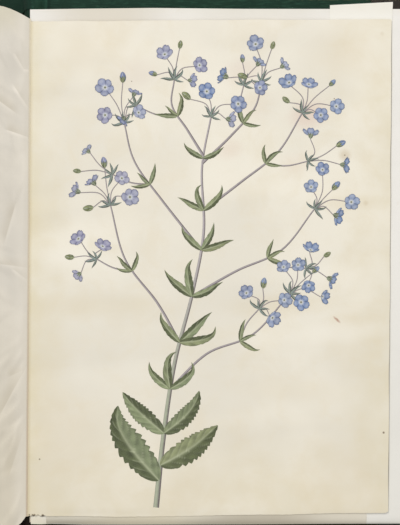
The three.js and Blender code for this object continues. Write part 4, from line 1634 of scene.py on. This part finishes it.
class ALBUM_OT_painting(bpy.types.Operator):
    """Paint a spray of five-petalled flowers on the plate, with its leaves and buds"""

    bl_idname = "album.painting"
    bl_label = "Painting"

    def execute(self, context):
        self.draw = np.random.default_rng(77)
        self.taken = []
        film = sizes().paint_film
        self.stems = Painting(film)
        self.leaves = Painting(film + 0.10 * MM)
        self.flowers = Painting(film + 0.20 * MM)
        self.spray()
        paint = paint_finish()
        for name, painting in (
            ("painted_stems", self.stems), ("painted_leaves", self.leaves),
            ("painted_flowers", self.flowers),
        ):
            piece = painting.solids.build(name, paint)
            settle(piece, "plate", "parchment")
        return {"FINISHED"}

    def spray(self):
        """The main stem, its branches and theirs, each ending in a head of flowers."""
        main = smooth_path(np.array(MAIN_STEM) * MM, 160)
        rise = np.linspace(0, 1, len(main))
        lit = mix(paints().stem_base, paints().stem, smooth(0.2, 0.75, rise))
        self.stems.stroke(main, STEM_WIDE * (1 - 0.7 * rise ** 0.8), lit, paints().stem_shade)
        for share, points, side in BRANCHES:
            root, _ = at_share(main, share)
            path = smooth_path(np.vstack([root, np.array(points) * MM]), 90)
            self.branch(path, 2.5 * MM, 1.3 * MM)
            self.whorl(*at_share(path, 0.55), (62, -56, 12), 19 * MM)
            root, way = at_share(path, 0.55)
            turn = side * math.radians(self.draw.uniform(34, 44))
            long = self.draw.uniform(34, 42) * MM
            knee = root + turned(way, 1.25 * turn) * long * 0.5
            self.branch(smooth_path([root, knee, root + turned(way, turn) * long], 40),
                        1.5 * MM, 1.1 * MM)
            self.cyme(root + turned(way, turn) * long, turned(way, 0.7 * turn), 4, 0.85)
            self.cyme(path[-1], directions(path)[0][-1], 6, 1.0)
        self.cyme(main[-1], directions(main)[0][-1], 7, 1.0)
        for share, long, wide, turns in LEAF_TIERS:
            root, way = at_share(main, share)
            broad = long > 50
            for turn in turns:
                size = self.draw.uniform(0.88, 1.08)
                self.leaves.blade(
                    root, turned(way, math.radians(turn)), long * MM * size, wide * MM * size,
                    -np.sign(turn) * self.draw.uniform(0.3, 1.1),
                    leaf_look(self.draw, broad), self.draw.integers(9999),
                    *((48, 19) if broad else (26, 11)))

    def branch(self, path, thick, thin):
        lit = mix(paints().stem, paints().stem_shade, 0.25)
        self.stems.stroke(path, np.linspace(thick, thin, len(path)), lit, paints().stem_shade)

    def whorl(self, root, way, turns, long, bluish=0.0):
        """Narrow leaves round a joint."""
        for turn in turns:
            size = long * self.draw.uniform(0.8, 1.2)
            self.leaves.blade(
                root, turned(way, math.radians(turn + self.draw.uniform(-9, 9))), size,
                size * 0.24, -np.sign(turn) * self.draw.uniform(0.2, 1.0),
                leaf_look(self.draw, bluish=bluish), self.draw.integers(9999), 16, 9)

    def is_free(self, place, radius):
        """True if a flower here overlaps no other one and keeps clear of the plate's edges."""
        low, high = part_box("plate")
        wide, long = high.x - low.x, high.y - low.y
        margin = 12 * MM
        if place[1] > long - radius - 8 * MM or not margin < place[0] < wide - margin:
            return False
        return all(
            np.linalg.norm(place - other) > 0.95 * (radius + size) for other, size in self.taken)

    def cyme(self, root, way, count, scale):
        """A loose head of flowers, buds and green capsules at the end of a stem."""
        draw, p = self.draw, paints()
        self.whorl(root, way, (48, -52, 96, -104, 6), 11 * MM, 0.4)
        share = np.clip(1.15 - root[0] / (210 * MM), 0, 1)
        for k, turn in enumerate(np.linspace(-76, 76, count)):
            for _ in range(14):
                slant = math.radians(turn + draw.uniform(-12, 12))
                reach = (14 + 17 * math.cos(slant)) * draw.uniform(0.7, 1.25) * scale * MM
                radius = draw.uniform(6.8, 9.4) * MM * (0.85 + 0.15 * scale)
                heading = turned(way, slant)
                tip = root + heading * reach
                if self.is_free(tip + heading * 0.3 * radius, radius):
                    break
            else:
                continue
            self.taken.append((tip + heading * 0.3 * radius, radius))
            knee = root + turned(way, slant * 0.55) * reach * 0.5
            end = tip + heading * 0.35 * radius
            self.branch(smooth_path([root, knee, tip, end], 20), 0.95 * MM, 0.8 * MM)
            hue = mix(p.blue, p.lilac, np.clip(share + draw.uniform(-0.35, 0.35), 0, 1))
            hue = mix(hue, p.pale, draw.uniform(0, 0.3))
            level = 5 * (k % 2)
            if k % 3 == 2:
                if draw.uniform() < 0.45:
                    hue = mix(p.leaf, srgb(146, 150, 92), 0.5)
                paint_bud(self.flowers, tip, heading, radius * 1.1, hue, level, draw)
            else:
                paint_flower(self.flowers, tip, heading, radius, draw.uniform(0.15, 1.35), hue,
                             level, draw)


# ---- Panel, registration and the run ----

STEPS = (
    ALBUM_OT_stage, ALBUM_OT_covers, ALBUM_OT_spine, ALBUM_OT_leaves, ALBUM_OT_mount,
    ALBUM_OT_plate, ALBUM_OT_thin_leaf, ALBUM_OT_painting,
)


class ALBUM_PT_panel(bpy.types.Panel):
    """Lists the album's settings and the steps that build it"""

    bl_idname = "ALBUM_PT_panel"
    bl_label = "Album"
    bl_space_type = "VIEW_3D"
    bl_region_type = "UI"
    bl_category = "Album"

    def draw(self, context):
        column = self.layout.column()
        for group in GROUPS:
            settings = getattr(context.scene, group)
            for key in settings.__annotations__:
                column.prop(settings, key)
        for step in STEPS:
            column.operator(step.bl_idname)


GROUPS = {
    "album_sizes": AlbumSizes,
    "album_colors": AlbumColors,
    "album_paints": AlbumPaints,
    "album_light": AlbumLight,
}


def register():
    for name, group in GROUPS.items():
        bpy.utils.register_class(group)
        setattr(bpy.types.Scene, name, bpy.props.PointerProperty(type=group))
    for step in STEPS:
        bpy.utils.register_class(step)
    bpy.utils.register_class(ALBUM_PT_panel)


def unregister():
    bpy.utils.unregister_class(ALBUM_PT_panel)
    for step in reversed(STEPS):
        bpy.utils.unregister_class(step)
    for name, group in GROUPS.items():
        delattr(bpy.types.Scene, name)
        bpy.utils.unregister_class(group)


def main():
    register()
    for step in STEPS:
        area, name = step.bl_idname.split(".")
        getattr(getattr(bpy.ops, area), name)()
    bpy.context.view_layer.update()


if __name__ == "__main__":
    main()
